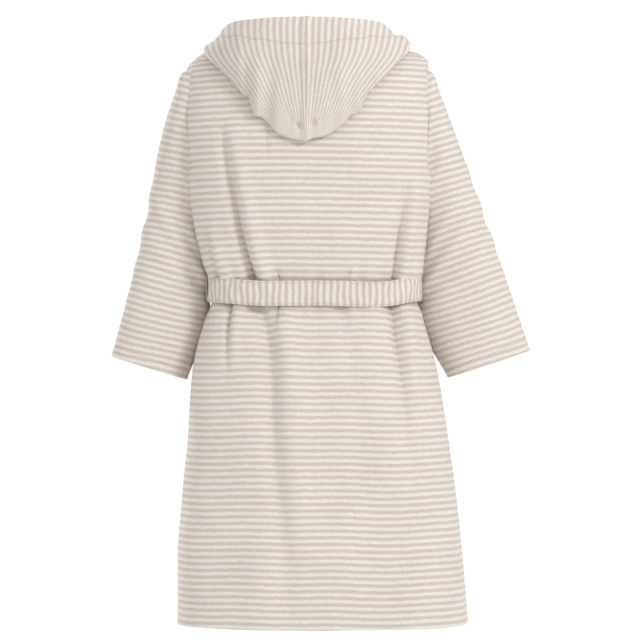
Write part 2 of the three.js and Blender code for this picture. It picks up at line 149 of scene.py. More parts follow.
def colour_mix(nodes, links, factor, a, b, kind="MIX"):
    node = nodes.new("ShaderNodeMix")
    node.data_type = "RGBA"
    node.blend_type = kind
    for socket, value in zip((node.inputs[0], node.inputs[6], node.inputs[7]), (factor, a, b)):
        if isinstance(value, (int, float)):
            socket.default_value = value
        elif isinstance(value, tuple):
            socket.default_value = value
        else:
            links.new(value, socket)
    return node.outputs[2]


def terry_group():
    group, feed, result = new_group(
        "striped_terry_loops",
        [
            ("Cloth", "NodeSocketVector", None),
            ("Repeat", "NodeSocketFloat", STRIPE_REPEAT),
            ("Light Stripe", "NodeSocketColor", (1, 1, 1, 1)),
            ("Dark Stripe", "NodeSocketColor", (0.5, 0.5, 0.5, 1)),
            ("Stripe Contrast", "NodeSocketFloat", 1.0),
        ],
        [("Color", "NodeSocketColor"), ("Height", "NodeSocketFloat"), ("Roughness", "NodeSocketFloat")],
    )
    nodes, links = group.nodes, group.links
    place = nodes.new("ShaderNodeTexCoord").outputs["Object"]
    split = nodes.new("ShaderNodeSeparateXYZ")
    links.new(feed.outputs["Cloth"], split.inputs[0])
    # Rows of loops wander by a fraction of a millimetre, so a stripe's edge is never ruled.
    drift = math_node(nodes, links, "MULTIPLY_ADD", noise_node(nodes, links, place, 60, 3), 0.0032, -0.0016)
    fray = math_node(nodes, links, "MULTIPLY_ADD", noise_node(nodes, links, place, 620, 1), 0.0030, -0.0015)
    along = math_node(nodes, links, "ADD", split.outputs["Y"], math_node(nodes, links, "ADD", drift, fray))
    turn = math_node(
        nodes, links, "MULTIPLY", math_node(nodes, links, "DIVIDE", along, feed.outputs["Repeat"]), math.tau
    )
    wave = math_node(nodes, links, "SINE", turn)
    sharp = math_node(nodes, links, "MULTIPLY_ADD", wave, 0.92, 0.5)
    stripe = nodes.new("ShaderNodeClamp")
    links.new(sharp, stripe.inputs["Value"])
    stripe_amount = math_node(nodes, links, "MULTIPLY", stripe.outputs[0], feed.outputs["Stripe Contrast"])
    woven = colour_mix(
        nodes, links, stripe_amount, feed.outputs["Light Stripe"], feed.outputs["Dark Stripe"]
    )
    # Loops: small rounded cells, taller in some places than others where the pile is brushed.
    cells = nodes.new("ShaderNodeTexVoronoi")
    cells.feature = "SMOOTH_F1"
    cells.inputs["Scale"].default_value = 640
    cells.inputs["Smoothness"].default_value = 0.5
    cells.inputs["Randomness"].default_value = 0.95
    links.new(place, cells.inputs["Vector"])
    loop = math_node(nodes, links, "SUBTRACT", 0.8, cells.outputs["Distance"])
    brushed = noise_node(nodes, links, place, 95, 4, 0.6)
    tufts = noise_node(nodes, links, place, 260, 3, 0.65)
    pile = math_node(nodes, links, "ADD", loop, tufts)
    height = math_node(nodes, links, "MULTIPLY_ADD", brushed, 0.8, pile)
    # Between the loops the ground cloth lies in shade, and the yarn's dye varies a little.
    deep = nodes.new("ShaderNodeMapRange")
    links.new(math_node(nodes, links, "ADD", loop, tufts), deep.inputs["Value"])
    deep.inputs["From Min"].default_value = 0.55
    deep.inputs["From Max"].default_value = 1.15
    deep.inputs["To Min"].default_value = 0.86
    deep.inputs["To Max"].default_value = 1.03
    shade = nodes.new("ShaderNodeCombineXYZ")
    for k in range(3):
        links.new(deep.outputs[0], shade.inputs[k])
    shaded = colour_mix(nodes, links, 1.0, woven, shade.outputs[0], "MULTIPLY")
    dye = nodes.new("ShaderNodeMapRange")
    links.new(noise_node(nodes, links, place, 14, 4, 0.6), dye.inputs["Value"])
    dye.inputs["From Min"].default_value = 0.3
    dye.inputs["From Max"].default_value = 0.7
    dye.inputs["To Min"].default_value = 0.965
    dye.inputs["To Max"].default_value = 1.02
    tint = nodes.new("ShaderNodeCombineXYZ")
    for k in range(3):
        links.new(dye.outputs[0], tint.inputs[k])
    links.new(colour_mix(nodes, links, 1.0, shaded, tint.outputs[0], "MULTIPLY"), result.inputs["Color"])
    links.new(height, result.inputs["Height"])
    links.new(math_node(nodes, links, "MULTIPLY_ADD", brushed, 0.12, 0.86), result.inputs["Roughness"])
    return group


STRIPED = terry_group()


def terry_material(name, light, dark, bump=0.0011, repeat=STRIPE_REPEAT):
    material = bpy.data.materials.new(name)
    material.use_nodes = True
    nodes, links = material.node_tree.nodes, material.node_tree.links
    shader = nodes["Principled BSDF"]
    weave = nodes.new("ShaderNodeGroup")
    weave.node_tree = STRIPED
    weave.inputs["Light Stripe"].default_value = light
    weave.inputs["Dark Stripe"].default_value = dark
    weave.inputs["Repeat"].default_value = repeat
    cloth = nodes.new("ShaderNodeUVMap")
    cloth.uv_map = "cloth"
    links.new(cloth.outputs["UV"], weave.inputs["Cloth"])
    links.new(weave.outputs["Color"], shader.inputs["Base Color"])
    links.new(weave.outputs["Roughness"], shader.inputs["Roughness"])
    relief = nodes.new("ShaderNodeBump")
    relief.inputs["Strength"].default_value = 0.85
    relief.inputs["Distance"].default_value = bump
    links.new(weave.outputs["Height"], relief.inputs["Height"])
    links.new(relief.outputs["Normal"], shader.inputs["Normal"])
    shader.inputs["Specular IOR Level"].default_value = 0.12
    shader.inputs["Sheen Weight"].default_value = 0.22
    shader.inputs["Sheen Roughness"].default_value = 0.6
    return material


IVORY_STRIPE = (0.84, 0.795, 0.75, 1)
BEIGE_STRIPE = (0.68, 0.575, 0.495, 1)
body_terry = terry_material("striped_terry_body", IVORY_STRIPE, BEIGE_STRIPE)

# Body shape, which every panel shares: the robe's horizontal sections from the shoulders to the
# hem, as worn over a chest, drawn in by the belt, and leaning a little to the wearer's right.
RIDGE_Y = -0.055
NECK_HALF_WIDTH = 0.085
NECK_RISE = 0.017
SHOULDER_SLOPE = 0.21
SHOULDER_TIP = 0.204
TIP_ROUNDING = 13.0
SHOULDER_DROP = 0.110
NAPE_DROP = 0.42
LEVEL_FROM = 0.3
HEM_Z = -1.144
SQUARENESS = 2.6
ARMHOLE_EDGE = 0.955
ARMPIT_Z = -0.250
BELT_Z = -0.489
SECTIONS = np.array(
    [
        (-0.080, 0.007, 0.249, 0.108, 0.104),
        (-0.200, 0.005, 0.245, 0.124, 0.118),
        (-0.300, 0.003, 0.235, 0.120, 0.117),
        (-0.400, -0.002, 0.220, 0.111, 0.112),
        (-0.450, -0.006, 0.209, 0.103, 0.109),
        (-0.488, -0.007, 0.198, 0.097, 0.106),
        (-0.530, -0.007, 0.210, 0.106, 0.110),
        (-0.600, -0.007, 0.231, 0.122, 0.120),
        (-0.800, -0.015, 0.259, 0.145, 0.138),
        (-1.000, -0.019, 0.279, 0.160, 0.150),
        (HEM_Z, -0.024, 0.286, 0.165, 0.155),
    ]
)


def smooth_rows(knots, values, at):
    """Values at the given places on a smooth curve through the knots, flat beyond its ends."""
    knots = np.asarray(knots, float)
    values = np.asarray(values, float)
    slopes = np.gradient(values, knots, axis=0) if len(knots) > 2 else np.zeros_like(values)
    at = np.clip(at, knots[0], knots[-1])
    k = np.clip(np.searchsorted(knots, at, side="right") - 1, 0, len(knots) - 2)
    step = knots[k + 1] - knots[k]
    t = (at - knots[k]) / step
    if values.ndim > 1:
        t, step = t[..., None], step[..., None]
    return (
        (2 * t**3 - 3 * t**2 + 1) * values[k]
        + (t**3 - 2 * t**2 + t) * step * slopes[k]
        + (3 * t**2 - 2 * t**3) * values[k + 1]
        + (t**3 - t**2) * step * slopes[k + 1]
    )


def ease(value, low, high):
    t = np.clip((value - low) / (high - low), 0, 1)
    return t * t * (3 - 2 * t)


def section_at(z):
    rows = smooth_rows(-SECTIONS[:, 0], SECTIONS[:, 1:], -np.asarray(z, float))
    return rows[..., 0], rows[..., 1], rows[..., 2], rows[..., 3]


def ridge_z(x):
    out = np.abs(x)
    past = np.maximum(out - SHOULDER_TIP, 0)
    return NECK_RISE - (out - NECK_HALF_WIDTH) * SHOULDER_SLOPE - TIP_ROUNDING * past**2


def body_point(column, drop):
    """A point of the body: column -1 is the right side seam and 1 the left one.

    drop is 0 at the shoulder seam, 1 where it has rounded down and 2 at the hem, and below 0 in front.
    """
    column, drop = np.broadcast_arrays(np.asarray(column, float), np.asarray(drop, float))
    turn = np.minimum(np.abs(drop), 1) * math.pi / 2
    across = np.sign(column) * np.abs(np.sin(column * math.pi / 2)) ** (2 / SQUARENESS)
    _, first_centre, first_half = SECTIONS[0, :3]
    top_z = ridge_z(first_centre + first_half * across * ARMHOLE_EDGE)
    fall = np.maximum(np.abs(drop) - 1, 0)
    uneven = (top_z - NECK_RISE) * (1 - ease(fall, 0, LEVEL_FROM))
    chest_z = NECK_RISE - SHOULDER_DROP
    z = chest_z + (HEM_Z - chest_z) * fall + uneven + SHOULDER_DROP * np.cos(turn)
    centre, half, back, front = section_at(z)
    reach = 1 + (ARMHOLE_EDGE - 1) * ease(z, ARMPIT_Z - 0.012, ARMPIT_Z + 0.020)
    u = across * reach
    depth = np.maximum(1 - np.abs(u) ** SQUARENESS, 0) ** (1 / SQUARENESS)
    side = np.where(drop >= 0, 1.0, -1.0)
    y = side * np.where(side > 0, back, front) * depth * np.sin(turn)
    return np.stack([centre + half * u, RIDGE_Y + y, z], -1)


def column_at(x, drop):
    x, drop = np.broadcast_arrays(np.asarray(x, float), np.asarray(drop, float))
    low, high = -np.ones(x.shape), np.ones(x.shape)
    for _ in range(22):
        middle = (low + high) / 2
        less = body_point(middle, drop)[..., 0] < x
        low, high = np.where(less, middle, low), np.where(less, high, middle)
    return (low + high) / 2


def fall_to(z):
    """The drop at which the level rows below the waist reach a height."""
    chest_z = NECK_RISE - SHOULDER_DROP
    return 1 + (z - chest_z) / (HEM_Z - chest_z)


def grid_normals(points, wrapped=False):
    if wrapped:
        padded = np.concatenate([points[:, -2:-1], points, points[:, 1:2]], 1)
        du = np.gradient(padded, axis=1)[:, 1:-1]
    else:
        du = np.gradient(points, axis=1)
    dv = np.gradient(points, axis=0)
    normal = np.cross(du, dv)
    return normal / np.maximum(np.linalg.norm(normal, axis=-1, keepdims=True), 1e-12)


def cloth_piece(name, points, cloth, material, out=1, thick=PILE, wrapped=False, rounded=1):
    """A sheet of cloth from a grid of points on its outer face. cloth holds each point's place on
    the flat cloth in metres, and out says which way the grid's normals must face."""
    rows, columns = points.shape[:2]
    used = columns - 1 if wrapped else columns
    place = lambda r, c: r * used + c % used
    quads = []
    for r in range(rows - 1):
        for c in range(columns - 1):
            quad = [place(r, c), place(r, c + 1), place(r + 1, c + 1), place(r + 1, c)]
            quads.append(quad if out > 0 else quad[::-1])
    mesh = bpy.data.meshes.new(name)
    mesh.from_pydata(points[:, :used].reshape(-1, 3).tolist(), [], quads)
    layer = mesh.uv_layers.new(name="cloth")
    flat = []
    for r in range(rows - 1):
        for c in range(columns - 1):
            corners = [cloth[r, c], cloth[r, c + 1], cloth[r + 1, c + 1], cloth[r + 1, c]]
            flat.extend(corners if out > 0 else corners[::-1])
    layer.data.foreach_set("uv", np.array(flat, np.float32).ravel())
    mesh.materials.append(material)
    piece = bpy.data.objects.new(name, mesh)
    bpy.context.collection.objects.link(piece)
    body = piece.modifiers.new("cloth_thickness", "SOLIDIFY")
    body.thickness = thick
    body.offset = -1
    if rounded:
        edge = piece.modifiers.new("soft_edge", "BEVEL")
        edge.width = thick * 0.3
        edge.segments = 2
        edge.limit_method = "ANGLE"
        edge.angle_limit = math.radians(78)
        edge.harden_normals = False
    settle(piece)
    return piece


def settle(piece):
    """Modifiers become part of the mesh, which is then shaded smooth."""
    bpy.context.view_layer.update()
    made = bpy.data.meshes.new_from_object(piece.evaluated_get(bpy.context.evaluated_depsgraph_get()))
    made.name = piece.name
    piece.modifiers.clear()
    piece.data = made
    for polygon in made.polygons:
        polygon.use_smooth = True


def ripple(a, b, waves):
    """A calm unevenness from a few crossing waves, each with its length, slant, phase and height."""
    total = np.zeros(np.broadcast(a, b).shape)
    for length, slant, phase, height in waves:
        across = a * math.cos(slant) + b * math.sin(slant)
        total = total + height * np.sin(across * math.tau / length + phase)
    return total


def crease(x, z, line, width, depth, lip=0.6):
    """A drag fold along a line of (z, x, strength): a valley, with a soft lip on the wearer's right."""
    line = np.array(line)
    order = np.argsort(line[:, 0])
    knots = line[order, 0]
    centre = smooth_rows(knots, line[order, 1], z)
    strength = np.interp(z, knots, line[order, 2], left=0, right=0)
    off = x - centre
    valley = -np.exp(-((off / width) ** 2))
    ridge = lip * np.exp(-(((off + 1.9 * width) / (1.5 * width)) ** 2))
    return depth * strength * (valley + ridge)


# Back panel: one piece of striped terry from the shoulder seams to the hem, with its stripes
# level. The belt draws it in, so drag folds run into the waist and on down the skirt. It is
# sewn to the fronts at the shoulders and sides, and its hem is turned up 40 mm and stitched.
HEM_TURN = 0.040
BELT_HALF = 0.025
FOLD_LINES = [
    # each: points of (height, x, strength), half width, depth
    (
        [
            (-0.14, 0.178, 0.0), (-0.20, 0.168, 0.5), (-0.30, 0.150, 0.8),
            (-0.38, 0.134, 1.0), (-0.49, 0.104, 1.1),
        ],
        0.011, 0.0185,
    ),
    ([(-0.33, 0.216, 0.0), (-0.40, 0.200, 0.8), (-0.49, 0.172, 1.1)], 0.008, 0.0130),
    ([(-0.20, -0.204, 0.0), (-0.32, -0.184, 0.6), (-0.40, -0.174, 1.0), (-0.49, -0.162, 1.2)], 0.009, 0.0185),
    ([(-0.36, -0.205, 0.0), (-0.42, -0.194, 0.7), (-0.49, -0.186, 1.0)], 0.006, 0.0090),
    (
        [(-0.487, -0.162, 1.2), (-0.58, -0.170, 1.0), (-0.68, -0.180, 0.6), (-0.84, -0.190, 0.0)],
        0.012, 0.0190,
    ),
    ([(-0.487, 0.158, 1.1), (-0.56, 0.162, 0.8), (-0.66, 0.166, 0.0)], 0.007, 0.0120),
    (
        [
            (-0.487, 0.106, 0.6), (-0.58, 0.084, 1.0), (-0.74, 0.076, 0.8),
            (-1.04, 0.050, 0.3), (-1.14, 0.044, 0.2),
        ],
        0.020, 0.0180,
    ),
    ([(-0.487, -0.06, 0.5), (-0.60, -0.075, 0.5), (-0.80, -0.10, 0.3), (-1.05, -0.12, 0.0)], 0.022, 0.0090),
]
BACK_WAVES = [(0.42, 0.4, 1.0, 0.0018), (0.23, -0.5, 2.3, 0.0012), (0.13, 0.9, 0.4, 0.0006)]


def waist_pleats(x, z, phase):
    """Short pleats that the belt presses into the cloth just above and below itself."""
    near = np.exp(-((np.abs(z - BELT_Z) - BELT_HALF) / 0.030) ** 2)
    wide = 0.0017 * np.sin(x * math.tau / 0.043 + phase)
    narrow = 0.0009 * np.sin(x * math.tau / 0.027 + 2 * phase)
    return near * (wide + narrow)


def under_belt(relief, z):
    """The belt holds down what would stand out beneath it."""
    held = np.exp(-((np.abs(z - BELT_Z) / 0.032) ** 4))
    return relief * (1 - held) + np.minimum(relief, 0) * held


def drawn_in(z):
    """How far the belt pulls the cloth in from its easy line."""
    return -0.0045 * np.exp(-((z - BELT_Z) / 0.030) ** 2)


def skirt_waves(x, z):
    """Slow vertical folds of the skirt that widen towards the hem."""
    down = ease(-z, 0.56, 1.1)
    wide = 0.0042 * np.sin(x * math.tau / 0.27 + 0.6)
    narrow = 0.0022 * np.sin(x * math.tau / 0.155 - 1.1 + z)
    return down * (wide + narrow)


def hem_relief(z):
    """The stitched turn-up: a shallow dent along its stitches."""
    return -0.0011 * np.exp(-((z - HEM_Z - HEM_TURN) / 0.0028) ** 2)


def body_cloth_place(points, drop):
    """Where each point lies on the flat cloth: x as it is, and the length down from the shoulder."""
    step = np.linalg.norm(np.diff(points, axis=0), axis=-1)
    length = np.concatenate([np.zeros((1, points.shape[1])), np.cumsum(step, 0)])
    level = np.where(np.abs(drop) >= 1, -points[..., 2], 0)
    first = np.argmax(np.abs(drop) >= 1, axis=0)
    lanes = np.arange(points.shape[1])
    start = length[first, lanes] + points[first, lanes, 2]
    above = length - start
    return np.stack([points[..., 0], np.where(np.abs(drop) >= 1, level, above)], -1)


def droop(x, z):
    """The stripes hang in a very slight curve and waver with the folds."""
    curve = 0.0016 * np.sin(x * math.tau / 0.50 + 0.8)
    return curve + 0.0011 * np.sin(x * math.tau / 0.19 + 3 * z) * ease(-z, 0.3, 0.7)


columns = np.linspace(-1, 1, 181)
share = np.linspace(0, 1, 261) ** 1.25
across = np.sign(columns) * np.abs(np.sin(columns * math.pi / 2)) ** (2 / SQUARENESS)
first_half = SECTIONS[0, 2]
neck_share = np.clip(np.abs(across * first_half) / NECK_HALF_WIDTH, 0, 1)
top_drop = NAPE_DROP * np.sqrt(1 - neck_share**2) + 0.001
drops = top_drop[None, :] + (2 - top_drop[None, :]) * share[:, None]
back = body_point(columns[None, :], drops)
place = body_cloth_place(back, drops)
x, z = back[..., 0], back[..., 2]
folds = sum(crease(x, z, line, width, depth) for line, width, depth in FOLD_LINES)
relief = under_belt(folds + waist_pleats(x, z, 0.7), z) + drawn_in(z) + skirt_waves(x, z) + hem_relief(z)
relief = relief + ripple(x, z, BACK_WAVES) * ease(-z, 0.05, 0.2)
relief = relief * ease(1 - np.abs(columns)[None, :], 0, 0.07)
normals = grid_normals(back)
normals = normals * np.sign(normals[..., 1:2].mean())
place[..., 1] += droop(x, z)
normals_back = normals
back_surface = back + normals * relief[..., None]
back_panel = cloth_piece("back_panel_cloth", back_surface, place, body_terry, out=-1)
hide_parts("back_panel")
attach(back_panel, "robe")

# Fronts: the wearer's left front laps over the right one and both are of the body's striped
# terry. The outer front is one cloth, made as an upper piece and a skirt that meet just below the belt.
FRONT_LAP = 0.060
LAP_GAP = 0.012
SPLIT_Z = -0.516
SIDE_RIGHT, SIDE_LEFT = -1, 1


def follow(piece, body):
    """The outer front's skirt stays fixed where it is built; everything else rides its body whole."""
    if body == "left_skirt":
        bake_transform(piece)
    else:
        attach(piece, body)


def front_edge_x(z, side):
    t = np.clip((NECK_RISE - z) / (NECK_RISE - BELT_Z), 0, 1)
    return side * (NECK_HALF_WIDTH + (-FRONT_LAP - NECK_HALF_WIDTH) * t)


def front_edge_column(drop, side):
    column = np.full(np.shape(drop), side * 0.3)
    for _ in range(7):
        column = column_at(front_edge_x(body_point(column, drop)[..., 2], side), drop)
    return column


def lap_over(side, points, drop):
    if side == SIDE_RIGHT:
        return points
    points = points.copy()
    points[..., 1] -= LAP_GAP * ease(0.175 - points[..., 0], 0, 0.090) * ease(-drop, 0.2, 1)
    return points


def front_relief(points, side, shares):
    x, z = points[..., 0], points[..., 2]
    pull = ease(-z, 0.20, 0.45) * (1 - ease(-z, 0.53, 0.75))
    drag = 0.0055 * pull * np.sin((x + side * 0.35 * (z - BELT_Z)) * math.tau / 0.085 + side)
    gathers = under_belt(drag + waist_pleats(x, z, 1.9 * side), z)
    relief = gathers + drawn_in(z) + skirt_waves(x, z) * 0.9 + hem_relief(z)
    edge_line = -0.0010 * np.exp(-((shares * np.ptp(x, axis=1, keepdims=True) - 0.038) / 0.0028) ** 2)
    return (relief + edge_line) * ease(1 - shares, 0, 0.06) * ease(-z, 0.02, 0.12)


def front_piece(name, side, first_drop, last_drop, rows, nodes, body):
    down = -np.linspace(first_drop, last_drop, rows)[:, None]
    shares = np.linspace(0, 1, 91)[None, :]
    edge = front_edge_column(down, side)
    column = edge + (side - edge) * shares
    flat = lap_over(side, body_point(column, down + 0 * shares), down)
    place = body_cloth_place(flat, np.broadcast_to(down, column.shape))
    normals = grid_normals(flat)
    normals = normals * -np.sign(normals[..., 1:2].mean())
    relief = front_relief(flat, side, shares)
    place[..., 1] += droop(flat[..., 0], flat[..., 2]) * 0.7
    surface = flat + normals * relief[..., None]
    piece = cloth_piece(name, surface, place, body_terry, out=side)
    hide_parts(*nodes)
    follow(piece, body)
    return piece, surface, normals


right_front, right_front_surface, right_front_normals = front_piece(
    "right_front_cloth", SIDE_RIGHT, 0.001, 2, 221, ["right_front_panel"], "robe"
)
left_upper, _, _ = front_piece(
    "left_front_upper_cloth", SIDE_LEFT, 0.001, fall_to(SPLIT_Z), 111, ["left_front_upper"], "robe"
)
left_skirt, _, _ = front_piece(
    "left_front_skirt_cloth", SIDE_LEFT, fall_to(SPLIT_Z), 2, 121, ["left_front_skirt"], "left_skirt"
)

# Facings: 40 mm bands of the same terry turned in behind the fronts' free edges, which give the
# edges body. They are caught by one row of stitches.
FACING_WIDTH = 0.040
FACING_THICK = 0.0016
FACING_SINK = 0.0056


def facing_piece(name, side, first_drop, last_drop, rows, node, body):
    down = -np.linspace(first_drop, last_drop, rows)[:, None]
    shares = np.linspace(0, 1, 7)[None, :]
    edge = front_edge_column(down, side)
    edge_x = body_point(edge, down)[..., 0]
    x = edge_x + side * (0.002 + shares * FACING_WIDTH)
    column = column_at(x, down + 0 * x)
    flat = lap_over(side, body_point(column, down + 0 * x), down)
    normals = grid_normals(flat)
    normals = normals * -np.sign(normals[..., 1:2].mean())
    place = body_cloth_place(flat, np.broadcast_to(down, column.shape))
    inner = flat + normals * ((drawn_in(flat[..., 2]) - FACING_SINK)[..., None])
    piece = cloth_piece(name, inner, place, body_terry, out=side, thick=FACING_THICK, rounded=0)
    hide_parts(node)
    follow(piece, body)
    return piece


facing_piece("right_facing_cloth", SIDE_RIGHT, 1.0, 1.995, 121, "right_front_facing", "robe")
facing_piece("left_facing_cloth", SIDE_LEFT, 1.0, fall_to(SPLIT_Z) - 0.002, 61, "left_front_facing", "robe")
skirt_facing = facing_piece(
    "left_skirt_facing_cloth", SIDE_LEFT, fall_to(SPLIT_Z) + 0.003, 1.995, 61,
    "left_skirt_facing", "left_skirt",
)

# Sleeves: one piece of striped terry each, folded along the outside of the arm and sewn under it
# and to the straight armhole. The stripes run round the arm. Each cuff is turned in and stitched
# 22 mm up.
CUFF_TURN = 0.022
SLEEVE_GAP = 0.010
SLEEVES = {
    "left": (SIDE_LEFT, (0.401, -0.612), (0.248, -0.660)),
    "right": (SIDE_RIGHT, (-0.441, -0.600), (-0.273, -0.656)),
}


def path_points(points, at):
    points = np.array(points)
    steps = np.linalg.norm(np.diff(points, axis=0), axis=1)
    knots = np.concatenate([[0], np.cumsum(steps)]) / steps.sum()
    return smooth_rows(knots, points, at)


def body_side(z, y, side):
    centre, half, _, front = section_at(np.array(z))
    u = (1 - min(abs(y) / float(front), 1) ** SQUARENESS) ** (1 / SQUARENESS)
    return float(centre) + side * (float(half) * u + SLEEVE_GAP)


def sleeve_grid(side, cuff_outer, cuff_inner, rows, around):
    along = np.linspace(0, 1, rows)[:, None]
    centre, half, _, _ = section_at(np.array(-0.08))
    arm_x = float(centre) + side * (float(half) * ARMHOLE_EDGE - 0.016)
    shoulder_x = arm_x + side * 0.044
    outer = path_points(
        [
            (arm_x, 0, -0.032),
            (arm_x + side * 0.024, 0, -0.041),
            (shoulder_x, -0.002, -0.088),
            ((shoulder_x + cuff_outer[0]) / 2 - side * 0.002, -0.008, (cuff_outer[1] - 0.088) / 2),
            (cuff_outer[0], -0.012, cuff_outer[1]),
        ],
        along[:, 0],
    )
    inner = path_points(
        [
            (body_side(-0.246, 0, side) - side * 0.026, 0, -0.262),
            (body_side(-0.33, 0.03, side) - side * 0.012, -0.030, -0.330),
            (body_side(-0.43, 0.05, side) - side * 0.004, -0.046, -0.430),
            (body_side(-0.54, 0.05, side), -0.050, -0.540),
            (cuff_inner[0], -0.034, cuff_inner[1]),
        ],
        along[:, 0],
    )
    middle = (outer + inner)[:, None, :] / 2
    major = (outer - inner)[:, None, :] / 2
    upright = np.array([0, 1.0, 0])
    minor = upright - major * (major[..., 1:2] / (major**2).sum(-1, keepdims=True))
    minor = minor / np.linalg.norm(minor, axis=-1, keepdims=True)
    # Squarer where it fills the armhole, then an ellipse that is flatter at its two folds.
    turn = np.linspace(0, math.tau, around + 1)[None, :]
    power = 0.55 + 0.37 * ease(along, 0.06, 0.40)
    boxed_cos = np.sign(np.cos(turn)) * np.abs(np.cos(turn)) ** power
    boxed_sin = np.sign(np.sin(turn)) * np.abs(np.sin(turn)) ** (power * 1.08)
    depth = (0.055 - 0.003 * ease(along, 0.1, 0.4))[..., None]
    points = middle + major * boxed_cos[..., None] + minor * depth * boxed_sin[..., None]
    points[..., 1] += RIDGE_Y
    return points, along, turn, outer, inner


def sleeve_folds(along, turn, side):
    """Diagonal drags from the underarm, and soft rings where the arm would bend."""
    back_half = np.sin(turn)
    from_armpit = np.exp(-((along - 0.22 - 0.10 * np.cos(turn)) / 0.05) ** 2) * 0.0035
    elbow = np.exp(-((along - 0.55) / 0.14) ** 2) * np.sin(along * 52 + 1.7 * np.cos(turn) + side) * 0.0022
    slack = 0.0030 * np.sin(turn * 2 + along * 5 + side) * ease(along, 0.1, 0.5)
    head = -0.0035 * np.exp(-((along - 0.03) / 0.02) ** 2) * (0.6 + 0.4 * np.sin(turn * 9))
    cuff = -0.0011 * np.exp(-(((1 - along) * 0.58 - CUFF_TURN) / 0.0026) ** 2)
    return from_armpit * back_half + elbow + slack + head + cuff


def stitches(name, path, normals, material, body, length=0.0034, gap=0.0016, width=0.0009, lift=0.0002):
    """A row of thread stitches along a path, each a short rounded bar half sunk in the cloth."""
    path, normals = np.asarray(path), np.asarray(normals)
    steps = np.linalg.norm(np.diff(path, axis=0), axis=1)
    reach = np.concatenate([[0], np.cumsum(steps)])
    starts = np.arange(0, reach[-1] - length, length + gap)
    verts, faces = [], []
    sides = 6
    for start in starts:
        ends = [
            np.array([np.interp(s, reach, path[:, k]) for k in range(3)]) for s in (start, start + length)
        ]
        normal = np.array([np.interp(start, reach, normals[:, k]) for k in range(3)])
        normal = normal / max(np.linalg.norm(normal), 1e-9)
        forward = ends[1] - ends[0]
        forward = forward / max(np.linalg.norm(forward), 1e-9)
        across = np.cross(forward, normal)
        base = len(verts)
        for t, fat in ((0.0, 0.35), (0.2, 0.95), (0.5, 1.1), (0.8, 0.95), (1.0, 0.35)):
            height = lift + width * 0.35 * math.sin(math.pi * t)
            centre = ends[0] + (ends[1] - ends[0]) * t + normal * height
            for k in range(sides):
                turn = k * math.tau / sides
                ring = across * math.cos(turn) + normal * math.sin(turn)
                verts.append(tuple(centre + ring * width * 0.5 * fat))
        for ring in range(4):
            for k in range(sides):
                a, b = base + ring * sides + k, base + ring * sides + (k + 1) % sides
                faces.append((a, b, b + sides, a + sides))
        faces.append(tuple(base + k for k in reversed(range(sides))))
        faces.append(tuple(base + 4 * sides + k for k in range(sides)))
    mesh = bpy.data.meshes.new(name)
    mesh.from_pydata(verts, [], faces)
    mesh.materials.append(material)
    mesh.polygons.foreach_set("use_smooth", [True] * len(faces))
    row = bpy.data.objects.new(name, mesh)
    bpy.context.collection.objects.link(row)
    if body == "hood":
        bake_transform(row)
    else:
        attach(row, body)
    return row


def thread_material(name, colour):
    """Spun cotton sewing thread: its ply shows as a fine slanting twist."""
    material = bpy.data.materials.new(name)
    material.use_nodes = True
    nodes, links = material.node_tree.nodes, material.node_tree.links
    shader = nodes["Principled BSDF"]
    place = nodes.new("ShaderNodeTexCoord").outputs["Object"]
    twist = nodes.new("ShaderNodeTexWave")
    twist.inputs["Scale"].default_value = 900
    twist.inputs["Distortion"].default_value = 2
    links.new(place, twist.inputs["Vector"])
    dark = tuple(c * 0.8 for c in colour[:3]) + (1,)
    links.new(colour_mix(nodes, links, twist.outputs["Fac"], dark, colour), shader.inputs["Base Color"])
    relief = nodes.new("ShaderNodeBump")
    relief.inputs["Distance"].default_value = 0.0002
    links.new(twist.outputs["Fac"], relief.inputs["Height"])
    links.new(relief.outputs["Normal"], shader.inputs["Normal"])
    shader.inputs["Roughness"].default_value = 0.6
    shader.inputs["Specular IOR Level"].default_value = 0.3
    return material


ivory_thread = thread_material("ivory_thread", (0.70, 0.63, 0.56, 1))

for label, (side, cuff_outer, cuff_inner) in SLEEVES.items():
    points, along, turn, outer, inner = sleeve_grid(side, cuff_outer, cuff_inner, 221, 120)
    normals = grid_normals(points, wrapped=True)
    outward = points - points.mean(1, keepdims=True)
    normals = normals * np.sign((normals * outward).sum(-1, keepdims=True))
    relief = sleeve_folds(along, turn, side)
    surface = points + normals * relief[..., None]
    surface[:, -1] = surface[:, 0]
    # On the flat cloth a stripe is straight, and the sleeve was cut square to its outer fold.
    axis = np.array([cuff_outer[0] - side * 0.275, 0, cuff_outer[1] + 0.088])
    axis = axis / np.linalg.norm(axis)
    run = surface @ axis
    waver = 0.0012 * np.sin(turn * 3 + along * 9)
    place = np.stack([np.broadcast_to(turn * 0.055, run.shape), run + waver], -1)
    piece = cloth_piece(f"{label}_sleeve_cloth", surface, place, body_terry, out=-side, wrapped=True)
    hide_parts(f"{label}_sleeve")
    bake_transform(piece)
    row = int(round((1 - CUFF_TURN / 0.58) * 220))
    stitches(f"{label}_cuff_stitches", surface[row], normals[row], ivory_thread, f"{label}_sleeve")

